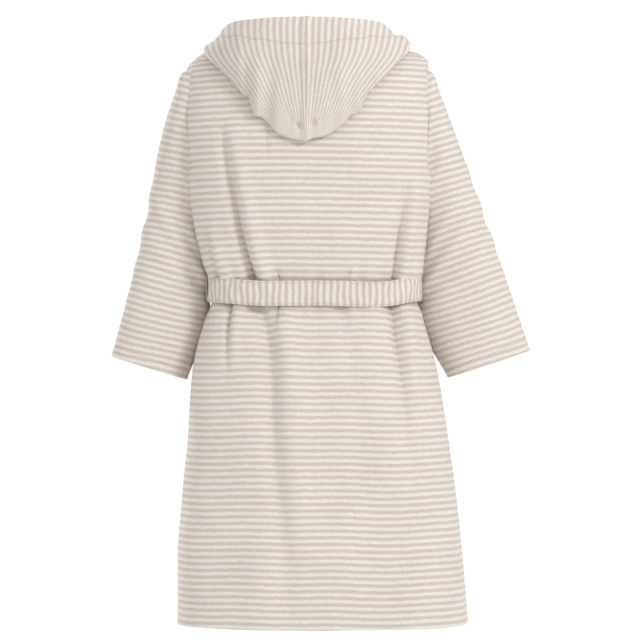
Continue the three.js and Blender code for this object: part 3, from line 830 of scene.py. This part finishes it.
# Hood: a bag of two halves of striped terry, cut with the stripes running from the face hem to the
# tip. It lies on the back: its inner layer from the neck seam to a soft fold, its outer layer from
# the fold back up to the face hem, which is turned in 45 mm and stitched.
HOOD_LEAN = 0.009
HOOD_OFF_BODY = 0.008
HOOD_FOLD = 0.014
HEM_SHARE = 0.22  # of the outer layer, the turned-in face hem
HOOD_BODY = "hood"
FOLD_LINE = [
    # share from the centre seam to the hood's front end, x, drop round the body
    (0, 0.0025, 1.099),
    (0.11, 0.044, 1.083),
    (0.23, 0.079, 1.047),
    (0.34, 0.106, 1.010),
    (0.45, 0.134, 0.83),
    (0.55, 0.188, 0.37),
    (0.75, 0.160, -0.42),
    (1, 0.092, -0.78),
]
HEM_LINE = [
    # share, x, y from the shoulder seam, z
    (0, 0.002, 0.146, 0.053),
    (0.25, 0.090, 0.134, 0.050),
    (0.42, 0.150, 0.096, 0.044),
    (0.55, 0.172, 0.040, 0.028),
    (0.75, 0.142, -0.046, 0.014),
    (1, 0.080, -0.116, -0.048),
]
HOOD_EDGE = [
    # height and half width of the hood as it is seen from behind, which the stripes follow
    (-0.200, 0.030),
    (-0.184, 0.044),
    (-0.170, 0.060),
    (-0.140, 0.092),
    (-0.105, 0.121),
    (-0.070, 0.150),
    (-0.020, 0.194),
    (0.020, 0.208),
    (0.075, 0.210),
]
HOOD_STRIPES = 16.5  # woven repeats from the centre seam to the side fold


def on_body(x, drop, lift, side):
    column = column_at(x, drop)
    step = 0.004
    du = body_point(np.clip(column + step, -1, 1), drop) - body_point(np.clip(column - step, -1, 1), drop)
    dv = body_point(column, drop + step) - body_point(column, drop - step)
    out = np.cross(du, dv)
    out = out / np.maximum(np.linalg.norm(out, axis=-1, keepdims=True), 1e-9)
    here = body_point(column, drop)
    middle = np.array([section_at(np.array(-0.1))[0], RIDGE_Y, -0.1])
    out = out * np.sign((out * (here - middle)).sum(-1, keepdims=True))
    return lap_over(side, here + out * lift, drop)


def neck_seam(share):
    early = share <= 0.5
    late = np.clip((share - 0.5) * 2, 0, 1)
    x = np.where(early, np.maximum(NECK_HALF_WIDTH * np.sin(share * math.pi), 0.0015), 0.088 - 0.014 * late)
    drop = np.where(early, NAPE_DROP * np.cos(share * math.pi) + 0.03, 0.03 - 0.69 * late)
    return x, drop


def hood_lean(share):
    return HOOD_LEAN * (1 - ease(share, 0.5, 0.9))


def hood_outer(side, share, t):
    """t runs from the fold at 0 to the face hem at 1."""
    fold_line, hem_line = np.array(FOLD_LINE), np.array(HEM_LINE)
    fold_row = smooth_rows(fold_line[:, 0], fold_line[:, 1:], share)
    hem_row = smooth_rows(hem_line[:, 0], hem_line[:, 1:], share)
    lean = hood_lean(share)
    fold_x = fold_row[..., 0] * side + lean
    fold = on_body(fold_x, fold_row[..., 1], HOOD_OFF_BODY + HOOD_FOLD, side)
    far = on_body(fold_x, fold_row[..., 1], HOOD_OFF_BODY + HOOD_FOLD + 0.04, side)
    out = (far - fold) / np.maximum(np.linalg.norm(far - fold, axis=-1, keepdims=True), 1e-9)
    hem = np.stack([hem_row[..., 0] * side + lean, RIDGE_Y + hem_row[..., 1], hem_row[..., 2]], -1)
    if side == SIDE_LEFT:
        hem[..., 1] -= LAP_GAP * ease(share, 0.6, 1)
    bulge = fold + (hem - fold) * 0.45 + out * (0.044 - 0.032 * ease(share, 0.25, 0.6))[..., None]
    t = t[..., None]
    return (fold + (bulge - fold) * t) * (1 - t) + (bulge + (hem - bulge) * t) * t


def hood_inner(side, share, t):
    """t runs from the neck seam at 0 to the fold at 1."""
    fold_line = np.array(FOLD_LINE)
    fold_row = smooth_rows(fold_line[:, 0], fold_line[:, 1:], share)
    neck_x, neck_drop = neck_seam(share)
    fold_x = fold_row[..., 0] * side + hood_lean(share)
    x = neck_x * side + (fold_x - neck_x * side) * t
    return on_body(x, neck_drop + (fold_row[..., 1] - neck_drop) * t, HOOD_OFF_BODY, side)


def hood_place(points):
    """The stripe's place across the hood, in repeats of the weave, from where the cloth lies."""
    edge = np.array(HOOD_EDGE)
    half = smooth_rows(edge[:, 0], edge[:, 1], points[..., 2])
    off = (points[..., 0] - HOOD_LEAN * ease(0.12 - points[..., 2], 0, 0.1)) / half
    wander = 0.035 * np.sin(points[..., 2] * 31 + points[..., 0] * 17)
    return (np.abs(off) * HOOD_STRIPES + wander + 0.25) * STRIPE_REPEAT


def hood_folds(side, share, t):
    """Drags run from the tip up each half; the seam stands a little, with a pucker at the tip."""
    fan = 0.0030 * np.sin(share * 46 + side * 1.3 + 2.2 * t)
    fan = fan * ease(1 - t, 0.15, 0.75) * ease(share, 0.05, 0.2)
    sag = 0.0035 * np.sin(share * 15 + side * 2.1) * np.sin(math.pi * t)
    seam = 0.0020 * np.exp(-(share / 0.012) ** 2) - 0.0016 * np.exp(-((share - 0.03) / 0.014) ** 2)
    pucker = -0.0075 * np.exp(-((share - 0.030) / 0.018) ** 2 - ((t - 0.09) / 0.035) ** 2)
    pinch = -0.0030 * np.exp(-((share - 0.075) / 0.02) ** 2 - ((t - 0.13) / 0.07) ** 2)
    stitched = -0.0012 * np.exp(-(((1 - t) - HEM_SHARE) / 0.008) ** 2)
    return fan + sag + seam + pucker + pinch + stitched


hood_terry = terry_material("striped_terry_hood", IVORY_STRIPE, BEIGE_STRIPE)
for label, side in (("left", SIDE_LEFT), ("right", SIDE_RIGHT)):
    share = np.linspace(0, 1, 141)[None, :]
    t = np.linspace(0, 1, 101)[:, None]
    share, t = np.broadcast_arrays(share, t)
    outer = hood_outer(side, share, t)
    normals = grid_normals(outer)
    normals = normals * np.sign(normals[60, 20, 1])
    outer = outer + normals * hood_folds(side, share, t)[..., None]
    outer[:, 0, 0] = hood_lean(0.0) + 0.0004 * side
    # The fold itself: from the outer layer the cloth rolls under and runs on to the neck seam.
    inner = hood_inner(side, share[::2], t[::2])
    roll_from, roll_to = outer[0], inner[-1]
    turn = np.linspace(0, 1, 9)[1:-1, None, None]
    spread = roll_from - roll_to
    axis_out = np.stack([roll_from[:, 0] - HOOD_LEAN, 0 * roll_from[:, 0], roll_from[:, 2] - 0.06], -1)
    axis_out = axis_out / np.maximum(np.linalg.norm(axis_out, axis=-1, keepdims=True), 1e-9)
    roll = roll_to + spread * (1 + np.cos(math.pi * turn)) / 2 + axis_out * np.sin(math.pi * turn) * 0.007
    rows = np.concatenate([inner, roll[::-1], outer], 0)
    place = np.stack([rows[..., 2], hood_place(rows)], -1)
    count_inner = len(inner) + len(roll)
    outer_piece = cloth_piece(
        f"hood_{label}_outer_cloth", rows[count_inner - 4:], place[count_inner - 4:], hood_terry, out=-side
    )
    inner_piece = cloth_piece(
        f"hood_{label}_inner_cloth", rows[: count_inner - 3], place[: count_inner - 3], hood_terry, out=-side
    )
    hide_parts(f"hood_{label}_half")
    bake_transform(outer_piece)
    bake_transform(inner_piece)
    stitch_row = int(round(100 * (1 - HEM_SHARE)))
    stitches(f"hood_{label}_hem_stitches", outer[stitch_row], normals[stitch_row], ivory_thread, HOOD_BODY)

# Belt: one 50 mm belt of the same terry, doubled and sewn, with its stripes across it. It goes
# once round the waist, is tied on the wearer's right of the front, and its two ends hang free.
BELT_WIDTH = 0.050
BELT_RISE = 0.013
BELT_EASE = 0.010
BELT_THICK = 0.005
KNOT_X = -0.106
BELT_IVORY = (0.83, 0.78, 0.725, 1)
BELT_BEIGE = (0.65, 0.545, 0.465, 1)
belt_terry = terry_material("striped_terry_belt", BELT_IVORY, BELT_BEIGE, bump=0.0009)


def belt_surface(turn, up, lift):
    angle = turn * math.tau
    power = 2 / SQUARENESS
    z = BELT_Z + BELT_RISE * np.abs(np.sin(angle)) ** 3 + BELT_WIDTH * up
    centre, half, back, front = (float(v) for v in section_at(np.array(BELT_Z)))
    behind = np.cos(angle) > 0
    lap = np.where(behind, 0, LAP_GAP * ease(-np.cos(angle), 0, 0.35))
    across = (half + BELT_EASE + lift) * np.sign(np.sin(angle)) * np.abs(np.sin(angle)) ** power
    depth = np.where(behind, back, front) + BELT_EASE + lap + lift
    y = depth * np.sign(np.cos(angle)) * np.abs(np.cos(angle)) ** power
    return np.stack([centre + across, RIDGE_Y + y, z], -1)


def running_length(points):
    steps = np.linalg.norm(np.diff(points, axis=0), axis=-1)
    return np.concatenate([[0], np.cumsum(steps)])


turn = np.linspace(0, 1, 481)[None, :]
up = np.linspace(0.5, -0.5, 25)[:, None]
turn_grid, up_grid = np.broadcast_arrays(turn, up)
around = turn_grid * math.tau
sag = 0.0016 * np.sin(around * 3 + 0.6) + 0.0009 * np.sin(around * 7 + 2)
rumple = 0.0012 * np.sin(around * 11 + up_grid * 5) + 0.0007 * np.sin(around * 23 - up_grid * 7 + 1)
edge_round = -0.0016 * np.clip((np.abs(up_grid) - 0.40) / 0.10, 0, 1) ** 2
stitch_dent = -0.0009 * np.exp(-(((np.abs(up_grid) - 0.42) * BELT_WIDTH) / 0.0013) ** 2)
belt = belt_surface(turn_grid, up_grid, BELT_THICK + rumple + edge_round + stitch_dent)
belt[..., 2] += sag
belt[:, -1] = belt[:, 0]
reach = running_length(belt[12])
across_belt = np.broadcast_to(up_grid * BELT_WIDTH, turn_grid.shape)
place = np.stack([across_belt, np.broadcast_to(reach, turn_grid.shape)], -1)
place[..., 1] += 0.0004 * np.sin(up_grid * 6 + around * 5)
band = cloth_piece("belt_band_cloth", belt, place, belt_terry, out=1, thick=BELT_THICK, wrapped=True)
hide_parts("belt_waist_band")
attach(band, "robe")
belt_normals = grid_normals(belt, wrapped=True)
for row, label in ((2, "upper"), (22, "lower")):
    from_middle = belt[row] - belt[row].mean(0)
    outward = belt_normals[row] * np.sign((belt_normals[row] * from_middle).sum(-1, keepdims=True))
    stitches(f"belt_{label}_stitches", belt[row], outward, ivory_thread, "robe", length=0.0030, gap=0.0016)


def knot_place():
    centre, half, _, front = (float(v) for v in section_at(np.array(BELT_Z)))
    u = abs((KNOT_X - centre) / (half + 0.013))
    y = -(front + LAP_GAP + 0.013 + BELT_THICK) * (1 - u**SQUARENESS) ** (1 / SQUARENESS)
    return np.array([KNOT_X, RIDGE_Y + y - 0.013 - 0.009, BELT_Z + 0.006])


def ribbon(name, centres, widths, flats, thick, material, body, node):
    """A flat strap through the given centres. widths are its half widths, and flats the direction
    across it at each centre."""
    centres, flats = np.array(centres, float), np.array(flats, float)
    knots = np.linspace(0, 1, len(centres))
    at = np.linspace(0, 1, 12 * len(centres))
    line = smooth_rows(knots, centres, at)
    across = smooth_rows(knots, flats, at)
    half = smooth_rows(knots, np.array(widths, float)[:, None], at)
    forward = np.gradient(line, axis=0)
    forward = forward / np.linalg.norm(forward, axis=1, keepdims=True)
    across = across - forward * (across * forward).sum(1, keepdims=True)
    across = across / np.linalg.norm(across, axis=1, keepdims=True)
    face = np.cross(across, forward)
    # Round the strap: two faces joined by soft edges.
    ring = []
    for k in range(40):
        a = k * math.tau / 40
        wide = math.copysign(abs(math.cos(a)) ** 0.35, math.cos(a))
        deep = math.copysign(abs(math.sin(a)) ** 0.6, math.sin(a))
        ring.append((wide, deep))
    ring.append(ring[0])
    ring = np.array(ring)
    points = (
        line[:, None]
        + across[:, None] * (half[:, None] * ring[None, :, 0:1])
        + face[:, None] * (thick / 2 * ring[None, :, 1:2])
    )
    reach = running_length(line)
    across_ribbon = np.broadcast_to(ring[None, :, 0] * 0.02, points.shape[:2])
    place = np.stack([across_ribbon, np.broadcast_to(reach[:, None], points.shape[:2])], -1)
    used = ring.shape[0] - 1
    rows = len(at)
    quads = [
        (r * used + c, r * used + (c + 1) % used, (r + 1) * used + (c + 1) % used, (r + 1) * used + c)
        for r in range(rows - 1)
        for c in range(used)
    ]
    caps = [tuple(range(used))[::-1], tuple((rows - 1) * used + c for c in range(used))]
    mesh = bpy.data.meshes.new(name)
    mesh.from_pydata(points[:, :used].reshape(-1, 3).tolist(), [], quads + caps)
    layer = mesh.uv_layers.new(name="cloth")
    flat = []
    for r in range(rows - 1):
        for c in range(used):
            flat.extend([place[r, c], place[r, c + 1], place[r + 1, c + 1], place[r + 1, c]])
    flat.extend([place[0, c] for c in range(used)][::-1])
    flat.extend([place[-1, c] for c in range(used)])
    layer.data.foreach_set("uv", np.array(flat, np.float32).ravel())
    mesh.materials.append(material)
    mesh.polygons.foreach_set("use_smooth", [True] * len(mesh.polygons))
    piece = bpy.data.objects.new(name, mesh)
    bpy.context.collection.objects.link(piece)
    bpy.context.view_layer.update()
    if node:
        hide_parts(node)
    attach(piece, body)
    return piece


# Knot: one end passes over the other and back down through, so a wide wrap lies slantwise over a
# narrower one. The ends leave it side by side.
knot = Vector(knot_place())
kx, ky, kz = knot
wrap = ribbon(
    "belt_knot_wrap",
    [
        (kx + 0.024, ky + 0.006, kz + 0.010),
        (kx + 0.020, ky - 0.006, kz + 0.014),
        (kx + 0.004, ky - 0.0105, kz + 0.006),
        (kx - 0.014, ky - 0.009, kz - 0.006),
        (kx - 0.024, ky + 0.004, kz - 0.012),
        (kx - 0.008, ky + 0.0095, kz - 0.004),
        (kx + 0.010, ky + 0.010, kz + 0.004),
    ],
    [0.013, 0.016, 0.019, 0.018, 0.014, 0.014, 0.012],
    [(0.2, 0, 1), (0.3, 0, 1), (0.4, 0, 1), (0.4, 0, 1), (0.3, 0, 1), (0.2, 0, 1), (0.2, 0, 1)],
    0.007, belt_terry, "robe", "belt_knot",
)
under = ribbon(
    "belt_knot_under",
    [
        (kx - 0.025, ky + 0.008, kz + 0.014),
        (kx - 0.012, ky + 0.001, kz + 0.022),
        (kx + 0.004, ky - 0.001, kz + 0.018),
        (kx + 0.014, ky - 0.0015, kz - 0.006),
        (kx + 0.016, ky - 0.001, kz - 0.030),
    ],
    [0.012, 0.010, 0.011, 0.012, 0.013],
    [(0, 0, 1), (-0.5, 0, 1), (0.9, 0, 0.5), (1, 0, 0.1), (1, 0, 0)],
    0.006, belt_terry, "robe", None,
)
behind = ribbon(
    "belt_knot_behind",
    [
        (kx + 0.022, ky + 0.009, kz - 0.004),
        (kx + 0.004, ky + 0.006, kz - 0.010),
        (kx - 0.010, ky + 0.003, kz - 0.018),
        (kx - 0.016, ky - 0.001, kz - 0.030),
    ],
    [0.012, 0.012, 0.012, 0.013],
    [(0, 0, 1), (0.3, 0, 1), (0.8, 0, 0.6), (1, 0, 0)],
    0.006, belt_terry, "robe", None,
)
for side, node, length, body in (
    (SIDE_LEFT, "belt_tail_left", 0.330, "belt_end_left"),
    (SIDE_RIGHT, "belt_tail_right", 0.370, "belt_end_right"),
):
    centres, widths, flats = [], [], []
    for k in range(13):
        v = k / 12
        free = float(ease(np.array(v), 0, 0.25))
        sway = 0.004 * math.sin(v * 5 + side)
        centres.append(
            (
                kx + side * (0.015 + 0.008 * free) + sway * free * 0.4,
                ky - 0.022 * math.sin(v * math.pi / 2) + 0.002 * math.sin(v * 9 + side),
                kz - 0.030 - (length + 0.005) * v,
            )
        )
        widths.append(0.013 + 0.008 * free)
        flats.append((1, 0.10 * math.sin(v * 4 + side), 0))
    ribbon(f"{node}_cloth", centres, widths, flats, BELT_THICK, belt_terry, body, node)

# Belt loops: a flat ivory tape, 10 mm wide, at each side seam that the belt passes through, sewn
# into the seam above and below it.
tape_material = bpy.data.materials.new("ivory_tape")
tape_material.use_nodes = True
tape_nodes, tape_links = tape_material.node_tree.nodes, tape_material.node_tree.links
tape_shader = tape_nodes["Principled BSDF"]
tape_place = tape_nodes.new("ShaderNodeTexCoord").outputs["Object"]
twill = tape_nodes.new("ShaderNodeTexWave")
twill.bands_direction = "DIAGONAL"
twill.inputs["Scale"].default_value = 420
twill.inputs["Distortion"].default_value = 0.6
tape_links.new(tape_place, twill.inputs["Vector"])
tape_links.new(
    colour_mix(tape_nodes, tape_links, twill.outputs["Fac"], (0.60, 0.54, 0.47, 1), (0.76, 0.70, 0.63, 1)),
    tape_shader.inputs["Base Color"],
)
tape_relief = tape_nodes.new("ShaderNodeBump")
tape_relief.inputs["Distance"].default_value = 0.0002
tape_links.new(twill.outputs["Fac"], tape_relief.inputs["Height"])
tape_links.new(tape_relief.outputs["Normal"], tape_shader.inputs["Normal"])
tape_shader.inputs["Roughness"].default_value = 0.7
tape_shader.inputs["Specular IOR Level"].default_value = 0.25


def tape_strip(name, grid, body, node, material=None, thick=0.0015):
    """A thin woven strip from a small grid of points."""
    grid = np.array(grid, float)
    flat = np.stack(np.meshgrid(np.linspace(0, 1, grid.shape[1]), np.linspace(0, 1, grid.shape[0])), -1)
    piece = cloth_piece(name, grid, flat * 0.05, material or tape_material, out=1, thick=thick, rounded=0)
    if node:
        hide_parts(node)
    if body == "hood":
        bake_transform(piece)
    else:
        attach(piece, body)
    return piece


for side, label in ((SIDE_LEFT, "left"), (SIDE_RIGHT, "right")):
    rows = []
    edge = belt_surface(np.array(side * 0.25), np.array(0.0), BELT_THICK)
    for k in range(33):
        angle = k / 32 * math.pi
        height = 0.029 * math.cos(angle)
        bow = 0.0024 * (1 - abs(math.cos(angle)) ** 6) - 0.0055 * abs(math.cos(angle)) ** 12
        rows.append(
            [(edge[0] + side * bow, edge[1] + w, edge[2] + height) for w in (-0.005, -0.0017, 0.0017, 0.005)]
        )
    tape_strip(f"{label}_belt_loop_tape", rows, "robe", f"{label}_belt_loop")

# Pockets: a patch of terry on each front, sewn on three sides, with its top edge turned in and
# standing a little open. Its stripes line up with the front's.
POCKET_NEAR, POCKET_FAR, POCKET_TOP, POCKET_BOTTOM = 0.068, 0.205, -0.570, -0.750
POCKET_GAPE = 0.015
for side, label, body in ((SIDE_LEFT, "left", "left_skirt"), (SIDE_RIGHT, "right", "robe")):
    u = np.linspace(0, 1, 61)[None, :]
    v = np.linspace(0, 1, 71)[:, None]
    u, v = np.broadcast_arrays(u, v)
    z = POCKET_TOP + (POCKET_BOTTOM - POCKET_TOP) * v
    corner = 0.006 * (1 - np.sin(math.pi * np.clip(u, 0, 1))) * ease(v, 0.8, 1)
    x = side * (POCKET_NEAR + (POCKET_FAR - POCKET_NEAR) * u)
    drop = -fall_to(z)
    bulge = np.sin(math.pi * u) ** 0.6 * np.cos(math.pi / 2 * v**2) ** 0.6
    column = column_at(x, drop)
    flat = lap_over(side, body_point(column, drop), drop)
    out = grid_normals(flat)
    out = out * -np.sign(out[..., 1:2].mean())
    near_edge = np.minimum(np.minimum(u, 1 - u) * 0.137, (1 - v) * 0.18)
    stitched = -0.0010 * np.exp(-((near_edge - 0.006) / 0.0022) ** 2)
    top_hem = -0.0010 * np.exp(-((v * 0.18 - 0.024) / 0.0024) ** 2)
    slack = 0.0018 * np.sin(u * 9 + v * 4 + side) * np.sin(math.pi * u)
    base = front_relief(flat, side, np.clip((u + 0.6) / 1.9, 0, 0.9))
    surface = flat + out * (0.0045 + POCKET_GAPE * bulge + stitched + top_hem + slack + base * 0.6)[..., None]
    surface[..., 2] += corner
    place = np.stack([flat[..., 0], -flat[..., 2]], -1)
    piece = cloth_piece(f"{label}_pocket_cloth", surface, place, body_terry, out=side)
    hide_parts(f"{label}_pocket")
    follow(piece, body)

# Hood seam tape: a narrow twill tape inside the bag that covers the centre seam's raw edges.
SEAM_TAPE_HALF = 0.006
rows = []
for k in range(31):
    t = np.array([0.22 + 0.76 * k / 30])
    left = hood_outer(SIDE_LEFT, np.array([0.02]), t)[0]
    right = hood_outer(SIDE_RIGHT, np.array([0.02]), t)[0]
    ahead = hood_outer(SIDE_LEFT, np.array([0.02]), t + 0.01)[0] - left
    inward = np.cross(ahead, (1, 0, 0))
    inward = inward / np.linalg.norm(inward)
    inward = inward if inward[1] < 0 else -inward
    middle = (left + right) / 2 + inward * 0.0062
    rows.append([middle + np.array([w, 0, 0]) for w in np.linspace(-SEAM_TAPE_HALF, SEAM_TAPE_HALF, 5)])
tape_strip("hood_seam_tape_cloth", rows, HOOD_BODY, "hood_seam_tape")

# Neck tape: covers the back neck seam inside, where the back, the hood and the loop all meet.
# It is twill tape, sewn along both edges.
rows = []
for v in np.linspace(0, 1, 7):
    across_neck = np.linspace(-0.062, 0.062, 41)
    drop = NAPE_DROP * np.sqrt(1 - (across_neck / NECK_HALF_WIDTH) ** 2) + 0.02 + 0.12 * v
    rows.append(on_body(across_neck, drop, -0.0064, SIDE_RIGHT))
neck_tape_rows = np.array(rows)
tape_strip("neck_tape_cloth", neck_tape_rows[:, ::-1], "robe", "neck_tape")

# Hanging loop: a flat tape folded down at both ends and sewn to the neck tape. The robe hangs from
# the underside of its top.
LOOP_WIDTH, LOOP_TAPE, LOOP_THICK, LOOP_LEG = 0.064, 0.008, 0.002, 0.018
corner = 0.004
path = [(-LOOP_WIDTH / 2, -LOOP_LEG), (-LOOP_WIDTH / 2, -corner)]
for k in range(1, 7):
    a = math.pi / 2 * k / 6
    path.append((-LOOP_WIDTH / 2 + corner * (1 - math.cos(a)), -corner + (corner + LOOP_THICK) * math.sin(a)))
for k in range(1, 13):
    path.append((-LOOP_WIDTH / 2 + corner + (LOOP_WIDTH - 2 * corner) * k / 12, LOOP_THICK))
path = path + [(-x, z) for x, z in path[:8]][::-1]
rows = [[(x, y, z) for y in (-0.004, -0.0013, 0.0013, 0.004)] for x, z in path]
tape_strip("hanging_loop_tape", rows, "robe", "hanging_loop", thick=LOOP_THICK)

# Labels: blank satin labels inside, the size label at the nape and the care label at a side seam.
# Each is sewn along its top edge.
satin = bpy.data.materials.new("label_satin_cloth")
satin.use_nodes = True
satin_nodes, satin_links = satin.node_tree.nodes, satin.node_tree.links
satin_shader = satin_nodes["Principled BSDF"]
threads = satin_nodes.new("ShaderNodeTexWave")
threads.inputs["Scale"].default_value = 700
satin_links.new(satin_nodes.new("ShaderNodeTexCoord").outputs["Object"], threads.inputs["Vector"])
satin_links.new(
    colour_mix(
        satin_nodes, satin_links, threads.outputs["Fac"], (0.80, 0.78, 0.75, 1), (0.88, 0.87, 0.85, 1)
    ),
    satin_shader.inputs["Base Color"],
)
satin_shader.inputs["Roughness"].default_value = 0.38
for name, x, z, width, height in (
    ("size_label", 0.0, -0.042, 0.034, 0.044),
    ("care_label", 0.150, -0.620, 0.030, 0.060),
):
    rows = []
    for v in np.linspace(0, 1, 13):
        wide = np.linspace(-0.5, 0.5, 9) * width
        level = z - height * v
        drop = np.full(9, 1.0)
        low, high = np.full(9, 0.02), np.full(9, 2.0)
        for _ in range(24):
            drop = (low + high) / 2
            below = body_point(column_at(x + wide, drop), drop)[..., 2] > level
            low, high = np.where(below, drop, low), np.where(below, high, drop)
        curl = -0.0015 * v**2 * np.cos(wide / width * math.pi)
        points = on_body(x + wide, drop, -0.0066, SIDE_RIGHT)
        points[..., 1] += curl
        rows.append(points)
    tape_strip(
        f"{name}_cloth", np.array(rows)[:, ::-1], "robe", name,
        material=satin, thick=0.0012,
    )

# Stitching: rows of ivory sewing thread that hold up the turned-in hems of the back and the inner
# front. A stitch is about 3 mm long.
hem_row = int(np.argmin(np.abs(back_surface[:, 90, 2] - (HEM_Z + HEM_TURN))))
stitches("back_hem_stitches", back_surface[hem_row, 3:-3], normals_back[hem_row, 3:-3], ivory_thread, "robe")
front_row = int(np.argmin(np.abs(right_front_surface[:, 40, 2] - (HEM_Z + HEM_TURN))))
stitches(
    "right_front_hem_stitches", right_front_surface[front_row, 3:-3], right_front_normals[front_row, 3:-3],
    ivory_thread, "robe",
)
